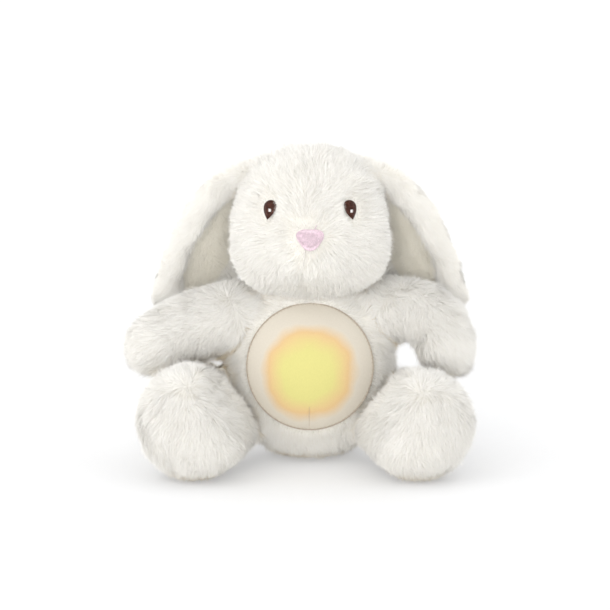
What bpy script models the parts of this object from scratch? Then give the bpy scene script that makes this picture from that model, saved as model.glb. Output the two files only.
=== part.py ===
"""Plush rabbit night light, seated, with floppy ears and a press light behind a round window in its belly.

The rabbit faces -Y and +Z is up. The origin is the middle of its seat on the floor. Left and right are as seen
from the front. All sizes are in metres, and a value whose name ends in share is a share of another size.
"""

import math

import bmesh
import bpy
from mathutils import Matrix, Vector
from mathutils.bvhtree import BVHTree

# Gaps that every piece shares
CLEARANCE = 0.0003
SEAM_GAP = 0.0004
FLOOR_CUT = 0.0005
OVERRUN = 0.03
MERGE_DISTANCE = 0.00001

# Torso, a full ball that is flatter at the back
TORSO_HALF_WIDTH = 0.065
TORSO_HALF_DEPTH = 0.060
TORSO_HALF_HEIGHT = 0.0705
TORSO_BACK_DEPTH = 0.046
TORSO_BACK_BLEND = 0.006
TORSO_FULLNESS_SHARE = 0.8

# Head, a fuller ball with cheeks and two muzzle lobes
HEAD_HALF_WIDTH = 0.0560
HEAD_HALF_DEPTH = 0.050
HEAD_HALF_HEIGHT = 0.0560
HEAD_FORWARD = 0.015
HEAD_RISE = 0.0420
HEAD_FULLNESS_SHARE = 0.82
CHEEK_REACH = 0.0105
MUZZLE_REACH = 0.0095
CHEEK_DIRECTION_SHARES = (0.80, -0.28, -0.60)
CHEEK_SPREAD_SHARE = 0.6
MUZZLE_DIRECTION_SHARES = (0.21, -0.90, -0.38)
MUZZLE_SPREAD_SHARE = 0.38

# Arms: the middle line runs from inside the torso over the elbow to the end of the paw
LEFT_ARM_RADII = (0.0300, 0.0255, 0.0230)
RIGHT_ARM_RADII = (0.0265, 0.0210, 0.0235)
ARM_ROUND = 0.020
SHOULDER_RISE = 0.0015
SHOULDER_OUT = 0.0070
LEFT_ARM_ROUTE = ((-0.034, -0.002, 0.105), (-0.095, -0.020, 0.111), (-0.128, -0.052, 0.0815))
RIGHT_ARM_ROUTE = ((0.036, 0.000, 0.107), (0.110, -0.018, 0.130), (0.098, -0.060, 0.078))

# Legs: the middle line runs from inside the torso to the end of the round foot
LEG_RADII = (0.0275, 0.0345, 0.0515)
LEG_ROOT_ROUND = 0.022
FOOT_ROUND = 0.044
FOOT_RADIUS = 0.0437
RIGHT_LEG_SIZE_SHARE = 0.95
LEFT_LEG_ROUTE = ((-0.044, -0.006), (-0.069, -0.042), (-0.1000, -0.113))
RIGHT_LEG_ROUTE = ((0.042, -0.006), (0.064, -0.042), (0.0945, -0.112))
LEFT_HIP_HINGE = (-0.0320, -0.0500)
RIGHT_HIP_HINGE = (0.0290, -0.0520)

# Ears: broad leaves that hang from the top of the head, their inner side turned a little to the front.
# Their heights are above and below the head's centre
EAR_ROUTE = ((0.026, -0.006, 0.0375), (0.069, 0.006, 0.0375), (0.101, 0.034, -0.0785))
EAR_HALF_WIDTHS = (0.017, 0.044, 0.029)
EAR_HALF_THICKNESSES = (0.0085, 0.0090, 0.0060)
EAR_ROUND = 0.020
EAR_TURN = math.radians(48)
LINING_PROUD = 0.0005
LINING_SUNK = 0.0010
LINING_TURN = math.radians(36)
LINING_SHIFT = math.radians(12)
LINING_START_SHARE = 0.40
LINING_END_SHARE = 0.93
LINING_FULLNESS_SHARE = 0.7

# Tail
TAIL_RADIUS = 0.018
TAIL_HEIGHT = 0.025
TAIL_SUNK = 0.004

# Eyes and nose, raised satin embroidery on the head
EYE_HALF_WIDTH = 0.0046
EYE_HALF_HEIGHT = 0.0071
EYE_APART = 0.0298
EYE_RISE = 0.0140
EYE_LEAN_SHARE = 0.22
NOSE_HALF_WIDTH = 0.0096
NOSE_HALF_HEIGHT = 0.0074
NOSE_DROP = 0.0050
NOSE_CORNER_SHARE = 0.13
STITCH_EDGE = 0.0006
STITCH_CROWN = 0.0012

# Belly window: a crowned disc of cloth, tilted back with the torso's front
WINDOW_RADIUS = 0.047
WINDOW_CROWN = 0.0165
WINDOW_HEIGHT = 0.0765
WINDOW_FORWARD = 0.0435
WINDOW_TILT_SHARE = 0.14
CLOTH_THICKNESS = 0.0012

# Press light behind the window
LIGHT_RADIUS = 0.040
LIGHT_WALL = 0.0018
LIGHT_SKIN_GAP = 0.0006
CAP_RADIUS = 0.0345
CAP_WALL = 0.0016
CAP_SIDE_GAP = 0.0005
CAP_FLANGE = 0.0016
CAP_FLANGE_THICKNESS = 0.0014
CAP_TRAVEL = 0.0012
LIP_THICKNESS = 0.0020
BEZEL_FOOT = 0.0035
SHELL_DEPTH = 0.0210
SHELL_ROUND = 0.0030
POST_RADIUS = 0.0026
BOARD_RADIUS = 0.0345
BOARD_THICKNESS = 0.0016
BOARD_DEPTH = 0.0125
BOSS_RADIUS = 0.0030
BOSS_RING_RADIUS = 0.0290
SCREW_SHANK_RADIUS = 0.0009
SCREW_HEAD_RADIUS = 0.0021
SCREW_HEAD_HEIGHT = 0.0013
SCREW_LENGTH = 0.0055
SCREW_SLOT_WIDTH = 0.0005
SCREW_SLOT_DEPTH = 0.0006
SWITCH_SIDE = 0.0064
SWITCH_HEIGHT = 0.0042
SWITCH_WELL_DEPTH = 0.0026
PLUNGER_RADIUS = 0.0017
PLUNGER_SUNK = 0.0010
PLUNGER_PROUD = 0.0024
LED_SIDE = 0.0050
LED_HEIGHT = 0.0016
LED_BEVEL = 0.0004
LED_RING_RADIUS = 0.0180

# Battery box, sunk in the flat of the back behind the flap
CELL_END_ROOM = 0.0055
BOX_BOTTOM = 0.0560
SCREW_ROOM = 0.0064
BOX_DEPTH = 0.0142
BOX_WALL = 0.0016
BOX_FACE_INSET = 0.0095
BOX_BEVEL = 0.0012
CELL_RADIUS = 0.0051
CELL_LENGTH = 0.0430
CELL_GAP = 0.0011
CELL_NUB_RADIUS = 0.0019
CELL_NUB_HEIGHT = 0.0012
CONTACT_THICKNESS = 0.0005
CONTACT_MARGIN = 0.0012
SPRING_RADIUS = 0.0030
SPRING_WIRE_RADIUS = 0.00035
SPRING_TURNS = 2.5
DOOR_THICKNESS = 0.0020
DOOR_GRIP_WIDTH = 0.0016
DOOR_GRIP_HEIGHT = 0.0010
DOOR_GRIP_LENGTH = 0.0160
DOOR_GRIPS = 5

# Back flap with its hook-and-loop closure
FLAP_SIDE_LAP = 0.0040
FLAP_TOP_LAP = 0.0065
FLAP_ROUND = 0.0070
FLAP_THICKNESS = 0.0040
FLAP_EDGE_GAP = 0.0008
STRIP_THICKNESS = 0.0009
STRIP_SIDE_MARGIN = 0.0060
STRIP_HEIGHT = 0.0080
STRIP_EDGE = 0.0015
STRIP_ROUND = 0.0012

# Lead between the battery box and the light
LEAD_RADIUS = 0.0012
LEAD_BORE_RADIUS = 0.0040
LEAD_SAG = 0.0016

# Counts
TORSO_SEGMENTS, TORSO_RINGS = 40, 22
HEAD_SEGMENTS, HEAD_RINGS = 36, 22
LIMB_SEGMENTS, LIMB_CAP_RINGS, LIMB_MIDDLE_RINGS = 20, 5, 5
TURN_STEPS, SMALL_STEPS = 32, 12
ARC_STEPS = 5

# Colours and roughness, as they look in the photo
PILE = ((0.90, 0.89, 0.86), 0.95, 0.0)
LINING_CLOTH = ((0.84, 0.79, 0.68), 0.95, 0.0)
WINDOW_CLOTH = ((0.86, 0.82, 0.74), 0.90, 0.0)
BROWN_THREAD = ((0.07, 0.03, 0.02), 0.45, 0.0)
PINK_THREAD = ((0.85, 0.66, 0.74), 0.50, 0.0)
WHITE_PLASTIC = ((0.82, 0.82, 0.80), 0.45, 0.0)
MILK_PLASTIC = ((0.95, 0.90, 0.62), 0.35, 0.0)
BLACK_PLASTIC = ((0.03, 0.03, 0.03), 0.50, 0.0)
GREEN_BOARD = ((0.05, 0.22, 0.11), 0.55, 0.0)
AMBER_LAMP = ((0.95, 0.80, 0.30), 0.30, 0.0)
BRIGHT_METAL = ((0.75, 0.75, 0.74), 0.30, 1.0)
CELL_SLEEVE = ((0.10, 0.14, 0.22), 0.40, 0.0)
WHITE_TAPE = ((0.80, 0.80, 0.78), 0.90, 0.0)
RED_SLEEVE = ((0.45, 0.05, 0.04), 0.50, 0.0)

SMOOTH_ANGLE = math.radians(35)


def clear_scene():
    for leftover in list(bpy.data.objects):
        bpy.data.objects.remove(leftover, do_unlink=True)


def give_finish(piece, finish):
    colour, roughness, metallic = finish
    material = bpy.data.materials.new(piece.name + "_finish")
    material.use_nodes = True
    shader = material.node_tree.nodes["Principled BSDF"]
    shader.inputs["Base Color"].default_value = (*colour, 1.0)
    shader.inputs["Roughness"].default_value = roughness
    shader.inputs["Metallic"].default_value = metallic
    piece.data.materials.clear()
    piece.data.materials.append(material)


def add_object(name, data, finish, location=(0, 0, 0), parent=None):
    piece = bpy.data.objects.new(name, data)
    bpy.context.scene.collection.objects.link(piece)
    piece.location = location
    piece.parent = parent
    if finish is None:
        piece.hide_render = True
        piece.display_type = "WIRE"
    else:
        give_finish(piece, finish)
    return piece


def add_points(name, points, faces, finish, origin=(0, 0, 0), parent=None):
    """An object from points in its parent's space, with its own origin there. No finish makes it a cutter."""
    start = Vector(origin)
    mesh = bpy.data.meshes.new(name)
    mesh.from_pydata([Vector(point) - start for point in points], [], faces)
    mesh.shade_smooth()
    mesh.set_sharp_from_angle(angle=SMOOTH_ANGLE)
    return add_object(name, mesh, finish, start, parent)


def add_bmesh(name, shape, finish, location=(0, 0, 0), parent=None):
    mesh = bpy.data.meshes.new(name)
    bmesh.ops.recalc_face_normals(shape, faces=shape.faces)
    shape.to_mesh(mesh)
    shape.free()
    mesh.shade_smooth()
    mesh.set_sharp_from_angle(angle=SMOOTH_ANGLE)
    return add_object(name, mesh, finish, location, parent)


def boolean(piece, other, operation="DIFFERENCE"):
    step = piece.modifiers.new(other.name, "BOOLEAN")
    step.operation = operation
    step.solver = "EXACT"
    step.object = other


def blend_of_three(values, share):
    """A quadratic curve through its first and last value, drawn towards the middle one."""
    first, middle, last = values
    rest = 1 - share
    return first * rest**2 + middle * (2 * rest * share) + last * share**2


def slope_of_three(values, share):
    first, middle, last = values
    return (middle - first) * (1 - share) + (last - middle) * share


def tube_faces(rings, segments):
    """Faces between rings of points, with the first and the last point as poles."""
    faces = []
    last_pole = 1 + rings * segments
    for side in range(segments):
        after = (side + 1) % segments
        faces.append((0, 1 + after, 1 + side))
        top = 1 + (rings - 1) * segments
        faces.append((last_pole, top + side, top + after))
        for ring in range(rings - 1):
            low = 1 + ring * segments
            high = low + segments
            faces.append((low + side, low + after, high + after))
            faces.append((low + side, high + after, high + side))
    return faces


def ball_points(centre, surface, rings, segments):
    """Points of a closed ball: surface(up, around) gives the way out from its centre."""
    points = [centre + surface(-math.pi / 2, 0)]
    for ring in range(1, rings + 1):
        up = math.pi * (ring / (rings + 1) - 0.5)
        for side in range(segments):
            points.append(centre + surface(up, math.tau * side / segments))
    points.append(centre + surface(math.pi / 2, 0))
    return points


def full_ball(up, around, half_width, half_depth, half_height, fullness):
    out = max(math.cos(up), 0) ** fullness
    return Vector((half_width * out * math.cos(around), half_depth * out * math.sin(around),
                   half_height * math.sin(up)))


def soft_least(first, second, blend):
    return (first + second - math.hypot(first - second, blend)) / 2


def torso_centre():
    return Vector((0, 0, TORSO_HALF_HEIGHT - FLOOR_CUT))


def torso_points(inset):
    """The torso's form, drawn in by the inset, or grown where it is negative."""

    def surface(up, around):
        point = full_ball(up, around, TORSO_HALF_WIDTH - inset, TORSO_HALF_DEPTH - inset,
                          TORSO_HALF_HEIGHT - inset, TORSO_FULLNESS_SHARE)
        point.y = soft_least(point.y, TORSO_BACK_DEPTH - inset, TORSO_BACK_BLEND)
        return point

    return ball_points(torso_centre(), surface, TORSO_RINGS, TORSO_SEGMENTS)


def torso_form(name, inset, finish=None):
    return add_points(name, torso_points(inset), tube_faces(TORSO_RINGS, TORSO_SEGMENTS), finish, torso_centre())


def head_centre():
    return torso_centre() + Vector((0, -HEAD_FORWARD, TORSO_HALF_HEIGHT + HEAD_RISE))


def head_bumps():
    """(direction, reach, spread) of the cheeks and the muzzle lobes."""
    bumps = []
    for shares, reach, spread in ((CHEEK_DIRECTION_SHARES, CHEEK_REACH, CHEEK_SPREAD_SHARE),
                                  (MUZZLE_DIRECTION_SHARES, MUZZLE_REACH, MUZZLE_SPREAD_SHARE)):
        for side in (-1, 1):
            towards = Vector((side * shares[0], shares[1], shares[2])).normalized()
            bumps.append((towards, reach, spread))
    return bumps


def head_points(grow):
    bumps = head_bumps()

    def surface(up, around):
        point = full_ball(up, around, HEAD_HALF_WIDTH + grow, HEAD_HALF_DEPTH + grow,
                          HEAD_HALF_HEIGHT + grow, HEAD_FULLNESS_SHARE)
        way = point.normalized()
        for towards, reach, spread in bumps:
            point = point + towards * reach * math.exp(-((way - towards).length / spread) ** 2)
        return point

    return ball_points(head_centre(), surface, HEAD_RINGS, HEAD_SEGMENTS)


def head_form(name, grow, finish=None):
    return add_points(name, head_points(grow), tube_faces(HEAD_RINGS, HEAD_SEGMENTS), finish, head_centre())


def swept_points(route, half_widths, half_thicknesses, broad, rounds):
    """Points of a limb along a bent middle line: it swells by the three sizes and ends in rounded caps."""
    line = [Vector(point) for point in route]
    parts = [(line[i + 1] - line[i]).length for i in range(2)]
    near, far = (size / (2 * part) for size, part in zip(rounds, parts))
    stations = []
    for step in range(1, LIMB_CAP_RINGS + 1):
        turn = math.pi / 2 * step / LIMB_CAP_RINGS
        stations.append((near * (1 - math.cos(turn)), math.sin(turn)))
    for step in range(1, LIMB_MIDDLE_RINGS + 1):
        stations.append((near + (1 - near - far) * step / (LIMB_MIDDLE_RINGS + 1), 1))
    for step in range(LIMB_CAP_RINGS, 0, -1):
        turn = math.pi / 2 * step / LIMB_CAP_RINGS
        stations.append((1 - far * (1 - math.cos(turn)), math.sin(turn)))
    points = [line[0]]
    for share, fill in stations:
        middle = blend_of_three(line, share)
        ahead = slope_of_three(line, share).normalized()
        across = (broad - ahead * broad.dot(ahead)).normalized()
        out = ahead.cross(across)
        wide = blend_of_three(half_widths, share) * fill
        thick = blend_of_three(half_thicknesses, share) * fill
        for side in range(LIMB_SEGMENTS):
            turn = math.tau * side / LIMB_SEGMENTS
            points.append(middle + across * (wide * math.cos(turn)) + out * (thick * math.sin(turn)))
    points.append(line[2])
    return points


def swept_form(name, points, finish, origin=(0, 0, 0)):
    rings = 2 * LIMB_CAP_RINGS + LIMB_MIDDLE_RINGS
    return add_points(name, points, tube_faces(rings, LIMB_SEGMENTS), finish, origin)


def box(name, low, high, finish=None, parent=None):
    shape = bmesh.new()
    low, high = Vector(low), Vector(high)
    bmesh.ops.create_cube(shape, size=1.0)
    bmesh.ops.scale(shape, vec=high - low, verts=shape.verts)
    return add_bmesh(name, shape, finish, (low + high) / 2, parent)


def rods(name, centres, radius, length, steps, finish=None, parent=None, axis="Z"):
    """Round rods along an axis, each about its own centre, in one object."""
    turns = {"Z": Matrix(), "Y": Matrix.Rotation(math.pi / 2, 4, "X"), "X": Matrix.Rotation(math.pi / 2, 4, "Y")}
    shape = bmesh.new()
    for centre in centres:
        bmesh.ops.create_cone(shape, cap_ends=True, segments=steps, radius1=radius, radius2=radius, depth=length,
                              matrix=Matrix.Translation(centre) @ turns[axis])
    return add_bmesh(name, shape, finish, parent=parent)


def turned(name, outline, finish, steps=TURN_STEPS, location=(0, 0, 0), parent=None, closed=False, rotation=None):
    """A turned piece about its own Z. The outline of (radius, height) runs down its outer side."""
    shape = bmesh.new()
    corners = [shape.verts.new((radius, 0, height)) for radius, height in outline]
    for first, second in zip(corners, corners[1:]):
        shape.edges.new((first, second))
    if closed:
        shape.edges.new((corners[-1], corners[0]))
    mesh = bpy.data.meshes.new(name)
    shape.to_mesh(mesh)
    shape.free()
    piece = add_object(name, mesh, finish, location, parent)
    if rotation:
        piece.rotation_euler = rotation
    screw = piece.modifiers.new("turn", "SCREW")
    screw.steps = steps
    screw.render_steps = steps
    screw.use_merge_vertices = True
    screw.merge_threshold = MERGE_DISTANCE
    screw.use_smooth_shade = True
    return piece


def surface_hit(points, faces, start, way):
    """Where a line from the start meets a form."""
    tree = BVHTree.FromPolygons(points, faces)
    place = tree.ray_cast(Vector(start), Vector(way))[0]
    return place


def ring_sphere(radius, centre, height_share_start, height_share_end, steps):
    """Points (radius, height) on a ball's arc, between two distances from the axis."""
    points = []
    for step in range(steps + 1):
        share = step / steps
        out = height_share_start + (height_share_end - height_share_start) * share
        points.append((out, centre + math.sqrt(radius**2 - out**2)))
    return points


def cloth_ball():
    """(radius, centre height) of the ball that the window's outer side lies on."""
    radius = (WINDOW_RADIUS**2 + WINDOW_CROWN**2) / (2 * WINDOW_CROWN)
    return radius, WINDOW_CROWN - radius


def build_cutters(light_frame):
    """Forms that cut the smaller pieces, and the floor."""
    reach = 2 * TORSO_HALF_WIDTH + OVERRUN
    radius, centre = cloth_ball()
    rim = WINDOW_RADIUS + SEAM_GAP
    crown = ring_sphere(radius + SEAM_GAP, centre, 0, rim, 2 * ARC_STEPS)
    return {
        "window": turned("window_cutter", crown + [(rim, -OVERRUN / 2), (0, -OVERRUN / 2)], None,
                         parent=light_frame),
        "torso": torso_form("torso_cutter", -SEAM_GAP),
        "head": head_form("head_cutter", SEAM_GAP),
        "floor": box("floor_cutter", (-reach, -reach, -OVERRUN), (reach, reach, 0)),
    }


def build_light_frame():
    frame = bpy.data.objects.new("light_frame", None)
    bpy.context.scene.collection.objects.link(frame)
    frame.location = (0, -WINDOW_FORWARD, WINDOW_HEIGHT)
    tilt = math.asin(WINDOW_TILT_SHARE)
    frame.rotation_euler = (math.pi / 2 - tilt, 0, 0)
    return frame


def rounded_slab(name, half_width, low, high, radius, finish=None):
    """A block from the torso's middle out through its back, its four long edges rounded."""
    reach = TORSO_HALF_DEPTH + OVERRUN
    shape = bmesh.new()
    bmesh.ops.create_cube(shape, size=1.0)
    bmesh.ops.scale(shape, vec=(2 * half_width, reach, high - low), verts=shape.verts)
    long_edges = [edge for edge in shape.edges if edge.verts[0].co.y != edge.verts[1].co.y]
    bmesh.ops.bevel(shape, geom=long_edges, offset=radius, offset_type="OFFSET", segments=ARC_STEPS,
                    profile=0.5, affect="EDGES")
    bmesh.ops.triangulate(shape, faces=shape.faces)
    return add_bmesh(name, shape, finish, (0, reach / 2, (low + high) / 2))


def flap_shell(name, half_width, low, high, radius, outer, inner, finish, origin):
    """A patch of cloth that follows the torso's back between two insets."""
    piece = rounded_slab(name, half_width, low, high, radius, finish)
    boolean(piece, torso_form(name + "_outer", outer), "INTERSECT")
    boolean(piece, torso_form(name + "_inner", inner))
    move_origin(piece, origin)
    return piece


def move_origin(piece, origin):
    shift = piece.location - Vector(origin)
    piece.data.transform(Matrix.Translation(shift))
    piece.location = origin


def cell_pitch():
    return 2 * CELL_RADIUS + CELL_GAP


def box_half_width():
    """Room for a cell's length, with its contact, spring and wall at each end."""
    return CELL_LENGTH / 2 + CELL_END_ROOM


def box_top():
    """The box holds three cells, with the door's screw above them."""
    return BOX_BOTTOM + 2 * BOX_WALL + 3 * cell_pitch() + SCREW_ROOM


def flap_half_width():
    return box_half_width() + FLAP_SIDE_LAP


def flap_heights():
    """The flap laps over the box's top, and below the box by the closure strip and its margins."""
    return BOX_BOTTOM - STRIP_HEIGHT - 2 * STRIP_EDGE, box_top() + FLAP_TOP_LAP


def closure_depth():
    """How far below the torso's surface the recess of the flap goes."""
    return FLAP_THICKNESS + 2 * STRIP_THICKNESS + 3 * CLEARANCE


def box_face():
    """Where the battery door's outer side lies along Y."""
    return TORSO_BACK_DEPTH - BOX_FACE_INSET


def lead_height():
    """Height at which the lead leaves the tilted light."""
    return WINDOW_HEIGHT - SHELL_DEPTH * WINDOW_TILT_SHARE


def build_torso(cutters, light_frame):
    torso = torso_form("torso", 0, PILE)
    seat = CLOTH_THICKNESS + CLEARANCE
    pocket = LIGHT_RADIUS + LIGHT_SKIN_GAP
    light_cut = turned("window_and_light_cutter", [
        (0, OVERRUN), (WINDOW_RADIUS + CLEARANCE, OVERRUN), (WINDOW_RADIUS + CLEARANCE, -seat), (pocket, -seat),
        (pocket, -SHELL_DEPTH - LIGHT_SKIN_GAP), (0, -SHELL_DEPTH - LIGHT_SKIN_GAP)], None, parent=light_frame)
    low, high = flap_heights()
    recess = rounded_slab("flap_recess_cutter", flap_half_width() + FLAP_EDGE_GAP, low - FLAP_EDGE_GAP,
                          high + FLAP_EDGE_GAP, FLAP_ROUND + FLAP_EDGE_GAP)
    boolean(recess, torso_form("flap_recess_floor", closure_depth()))
    back = box_face() - DOOR_THICKNESS - CLEARANCE - BOX_DEPTH
    box_cut = box("battery_pocket_cutter",
                  (-box_half_width() - CLEARANCE, back - CLEARANCE, BOX_BOTTOM - CLEARANCE),
                  (box_half_width() + CLEARANCE, TORSO_HALF_DEPTH, box_top() + CLEARANCE))
    lead_cut = rods("lead_bore_cutter", [(0, 0, lead_height())], LEAD_BORE_RADIUS, 2 * back + OVERRUN,
                    SMALL_STEPS, axis="Y")
    for cutter in (recess, box_cut, light_cut, lead_cut, cutters["floor"]):
        boolean(torso, cutter)
    return torso


def build_head(cutters):
    head = head_form("head", 0, PILE)
    boolean(head, cutters["torso"])
    return head


def build_arm(side_name, route, radii, cutters):
    side = -1 if route[2][0] < 0 else 1
    shoulder = (route[0][0] + side * SHOULDER_OUT, route[0][1], route[0][2] + radii[0] + SHOULDER_RISE)
    points = swept_points(route, radii, radii, Vector((0, 1, 0)), (ARM_ROUND, ARM_ROUND))
    arm = swept_form(side_name + "_arm", points, PILE, shoulder)
    boolean(arm, cutters["torso"])
    boolean(arm, cutters["head"])
    return arm


def build_leg(side_name, route, size, hinge, cutters):
    height = FOOT_RADIUS * size - FLOOR_CUT
    line = [(*place, height) for place in route]
    radii = [radius * size for radius in LEG_RADII]
    points = swept_points(line, radii, radii, Vector((0, 0, 1)), (LEG_ROOT_ROUND, FOOT_ROUND * size))
    leg = swept_form(side_name + "_leg", points, PILE, (*hinge, height))
    for cutter in ("torso", "window", "floor"):
        boolean(leg, cutters[cutter])
    return leg


def build_ear(side_name, side, cutters):
    route = [Vector((side * x, y, head_centre().z + z)) for x, y, z in EAR_ROUTE]
    broad = Vector((-side * math.sin(EAR_TURN), math.cos(EAR_TURN), 0))
    faces = tube_faces(HEAD_RINGS, HEAD_SEGMENTS)
    root = (0, route[0].y, route[0].z + EAR_HALF_THICKNESSES[0])
    pivot = surface_hit(head_points(0), faces, root, (side, 0, 0))
    points = swept_points(route, EAR_HALF_WIDTHS, EAR_HALF_THICKNESSES, broad, (EAR_ROUND, EAR_ROUND))
    ear = swept_form(side_name + "_ear", points, PILE, pivot)

    def lining_points(grow):
        """A sheet that follows the ear's inner side: its upper layer out and back along its lower one."""
        share_span = LINING_END_SHARE - LINING_START_SHARE + 2 * grow / EAR_HALF_WIDTHS[1]
        share_start = LINING_START_SHARE - grow / EAR_HALF_WIDTHS[1]
        rings = 2 * LIMB_CAP_RINGS + LIMB_MIDDLE_RINGS

        def on_ear(share, turn, rise):
            ahead = slope_of_three(route, share).normalized()
            across = (broad - ahead * broad.dot(ahead)).normalized()
            out = across.cross(ahead) * side
            wide = blend_of_three(EAR_HALF_WIDTHS, share)
            thick = blend_of_three(EAR_HALF_THICKNESSES, share)
            place = blend_of_three(route, share) + across * (wide * math.sin(turn)) + out * (thick * math.cos(turn))
            return place + (across * (thick * math.sin(turn)) + out * (wide * math.cos(turn))).normalized() * rise

        points = [on_ear(share_start, LINING_SHIFT, -LINING_SUNK)]
        for ring in range(1, rings + 1):
            angle = math.pi * ring / (rings + 1)
            share = share_start + share_span * (1 - math.cos(angle)) / 2
            reach = LINING_TURN * math.sin(angle) ** LINING_FULLNESS_SHARE + grow / EAR_HALF_WIDTHS[1]
            half = LIMB_SEGMENTS // 2
            for step in range(half):
                turn = LINING_SHIFT - side * reach * (1 - 2 * step / (half - 1))
                points.append(on_ear(share, turn, LINING_PROUD + grow))
            for step in range(half):
                turn = LINING_SHIFT + side * reach * (1 - 2 * step / (half - 1))
                points.append(on_ear(share, turn, -LINING_SUNK - grow))
        points.append(on_ear(share_start + share_span, LINING_SHIFT, -LINING_SUNK))
        return points

    lining = swept_form(side_name + "_ear_lining", lining_points(0), LINING_CLOTH, pivot)
    boolean(lining, cutters["head"])
    boolean(ear, swept_form(side_name + "_lining_cutter", lining_points(CLEARANCE), None))
    boolean(ear, cutters["head"])
    return ear, lining


def build_tail(cutters):
    centre = Vector((0, TORSO_BACK_DEPTH - TAIL_SUNK + TAIL_RADIUS / 2, TAIL_HEIGHT))

    def surface(up, around):
        return full_ball(up, around, TAIL_RADIUS, TAIL_RADIUS, TAIL_RADIUS, 1)

    rings = LIMB_CAP_RINGS + LIMB_MIDDLE_RINGS
    points = ball_points(centre, surface, rings, LIMB_SEGMENTS)
    tail = add_points("tail", points, tube_faces(rings, LIMB_SEGMENTS), PILE, centre)
    boolean(tail, cutters["torso"])
    return tail


def embroidered(name, centre, outline, finish):
    """A raised patch of satin stitches that lies on the head: outline(turn) gives its edge beside the centre."""
    tree = BVHTree.FromPolygons(head_points(0), tube_faces(HEAD_RINGS, HEAD_SEGMENTS))

    def on_head(across, up, height):
        start = Vector((across, -HEAD_FORWARD - HEAD_HALF_DEPTH - OVERRUN, up))
        place = tree.ray_cast(start, Vector((0, 1, 0)))[0]
        return place - Vector((0, height, 0))

    def ring(share, height):
        edge = (outline(math.tau * side / LIMB_SEGMENTS) for side in range(LIMB_SEGMENTS))
        return [on_head(centre[0] + x * share, centre[1] + z * share, height) for x, z in edge]

    levels = [(0.5, CLEARANCE), (1, CLEARANCE)]
    for share in (1, 0.82, 0.55, 0.28):
        levels.append((share, CLEARANCE + STITCH_EDGE + STITCH_CROWN * math.sqrt(1 - share**2)))
    points = [on_head(*centre, CLEARANCE)]
    for share, height in levels:
        points.extend(ring(share, height))
    points.append(on_head(*centre, CLEARANCE + STITCH_EDGE + STITCH_CROWN))
    return add_points(name, points, tube_faces(len(levels), LIMB_SEGMENTS), finish, on_head(*centre, 0))


def build_face():
    """Teardrop eyes with their points down and out, and a nose like a rounded triangle."""
    widest_share = 0.77
    for name, side in (("left_eye", -1), ("right_eye", 1)):

        def teardrop(turn, side=side):
            up = -EYE_HALF_HEIGHT * math.cos(turn)
            across = EYE_HALF_WIDTH / widest_share * math.sin(turn) * abs(math.sin(turn / 2))
            return across - side * up * EYE_LEAN_SHARE, up

        embroidered(name, (side * EYE_APART, head_centre().z + EYE_RISE), teardrop, BROWN_THREAD)

    def rounded_triangle(turn):
        out = 1 + NOSE_CORNER_SHARE * math.cos(3 * (turn + math.pi / 2))
        return NOSE_HALF_WIDTH * out * math.cos(turn), NOSE_HALF_HEIGHT * out * math.sin(turn)

    embroidered("nose", (0, head_centre().z - NOSE_DROP), rounded_triangle, PINK_THREAD)


def build_window(light_frame):
    radius, centre = cloth_ball()
    outer = ring_sphere(radius, centre, 0, WINDOW_RADIUS, 2 * ARC_STEPS)
    inner_radius = radius - CLOTH_THICKNESS
    rim = WINDOW_RADIUS * inner_radius / radius
    inner = ring_sphere(inner_radius, centre, rim, 0, ARC_STEPS)
    return turned("belly_window", outer + [(WINDOW_RADIUS, -CLOTH_THICKNESS)] + inner, WINDOW_CLOTH,
                  parent=light_frame)


def lip_bottom():
    return edge_height(CAP_RADIUS + CAP_SIDE_GAP, CLEARANCE) - LIP_THICKNESS


def edge_height(out, below):
    """Height below the window's inner side at this distance from the axis."""
    radius, centre = cloth_ball()
    return centre + math.sqrt((radius - CLOTH_THICKNESS - below) ** 2 - out**2)


def build_cap(light_frame):
    """The milky dome: its flange is caught under the bezel's lip, and its post presses the switch."""
    radius, centre = cloth_ball()
    dome = radius - CLOTH_THICKNESS - LIGHT_SKIN_GAP
    flange_top = lip_bottom() - CLEARANCE
    flange_bottom = flange_top - CAP_FLANGE_THICKNESS
    inside = CAP_RADIUS - CAP_WALL
    outline = ring_sphere(dome, centre, 0, CAP_RADIUS, ARC_STEPS)
    outline += [(CAP_RADIUS, flange_top), (CAP_RADIUS + CAP_FLANGE, flange_top),
                (CAP_RADIUS + CAP_FLANGE, flange_bottom), (inside, flange_bottom)]
    outline += ring_sphere(dome - CAP_WALL, centre, inside, POST_RADIUS, ARC_STEPS)
    outline += [(POST_RADIUS, plunger_top() + CLEARANCE), (0, plunger_top() + CLEARANCE)]
    return turned("light_cap", outline, MILK_PLASTIC, parent=light_frame)


def build_bezel(light_frame):
    hole = CAP_RADIUS + CAP_SIDE_GAP
    radius, centre = cloth_ball()
    top = ring_sphere(radius - CLOTH_THICKNESS - CLEARANCE, centre, hole, LIGHT_RADIUS, 2)
    inside = LIGHT_RADIUS - LIGHT_WALL
    outline = top + [(LIGHT_RADIUS, -BEZEL_FOOT), (inside, -BEZEL_FOOT), (inside, lip_bottom()),
                     (hole, lip_bottom())]
    return turned("light_bezel", outline, WHITE_PLASTIC, parent=light_frame, closed=True)


def boss_places():
    """Places of the three board screws round the light's axis."""
    turns = [math.tau * number / 3 + math.pi / 2 for number in range(3)]
    return [(BOSS_RING_RADIUS * math.cos(turn), BOSS_RING_RADIUS * math.sin(turn)) for turn in turns]


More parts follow.
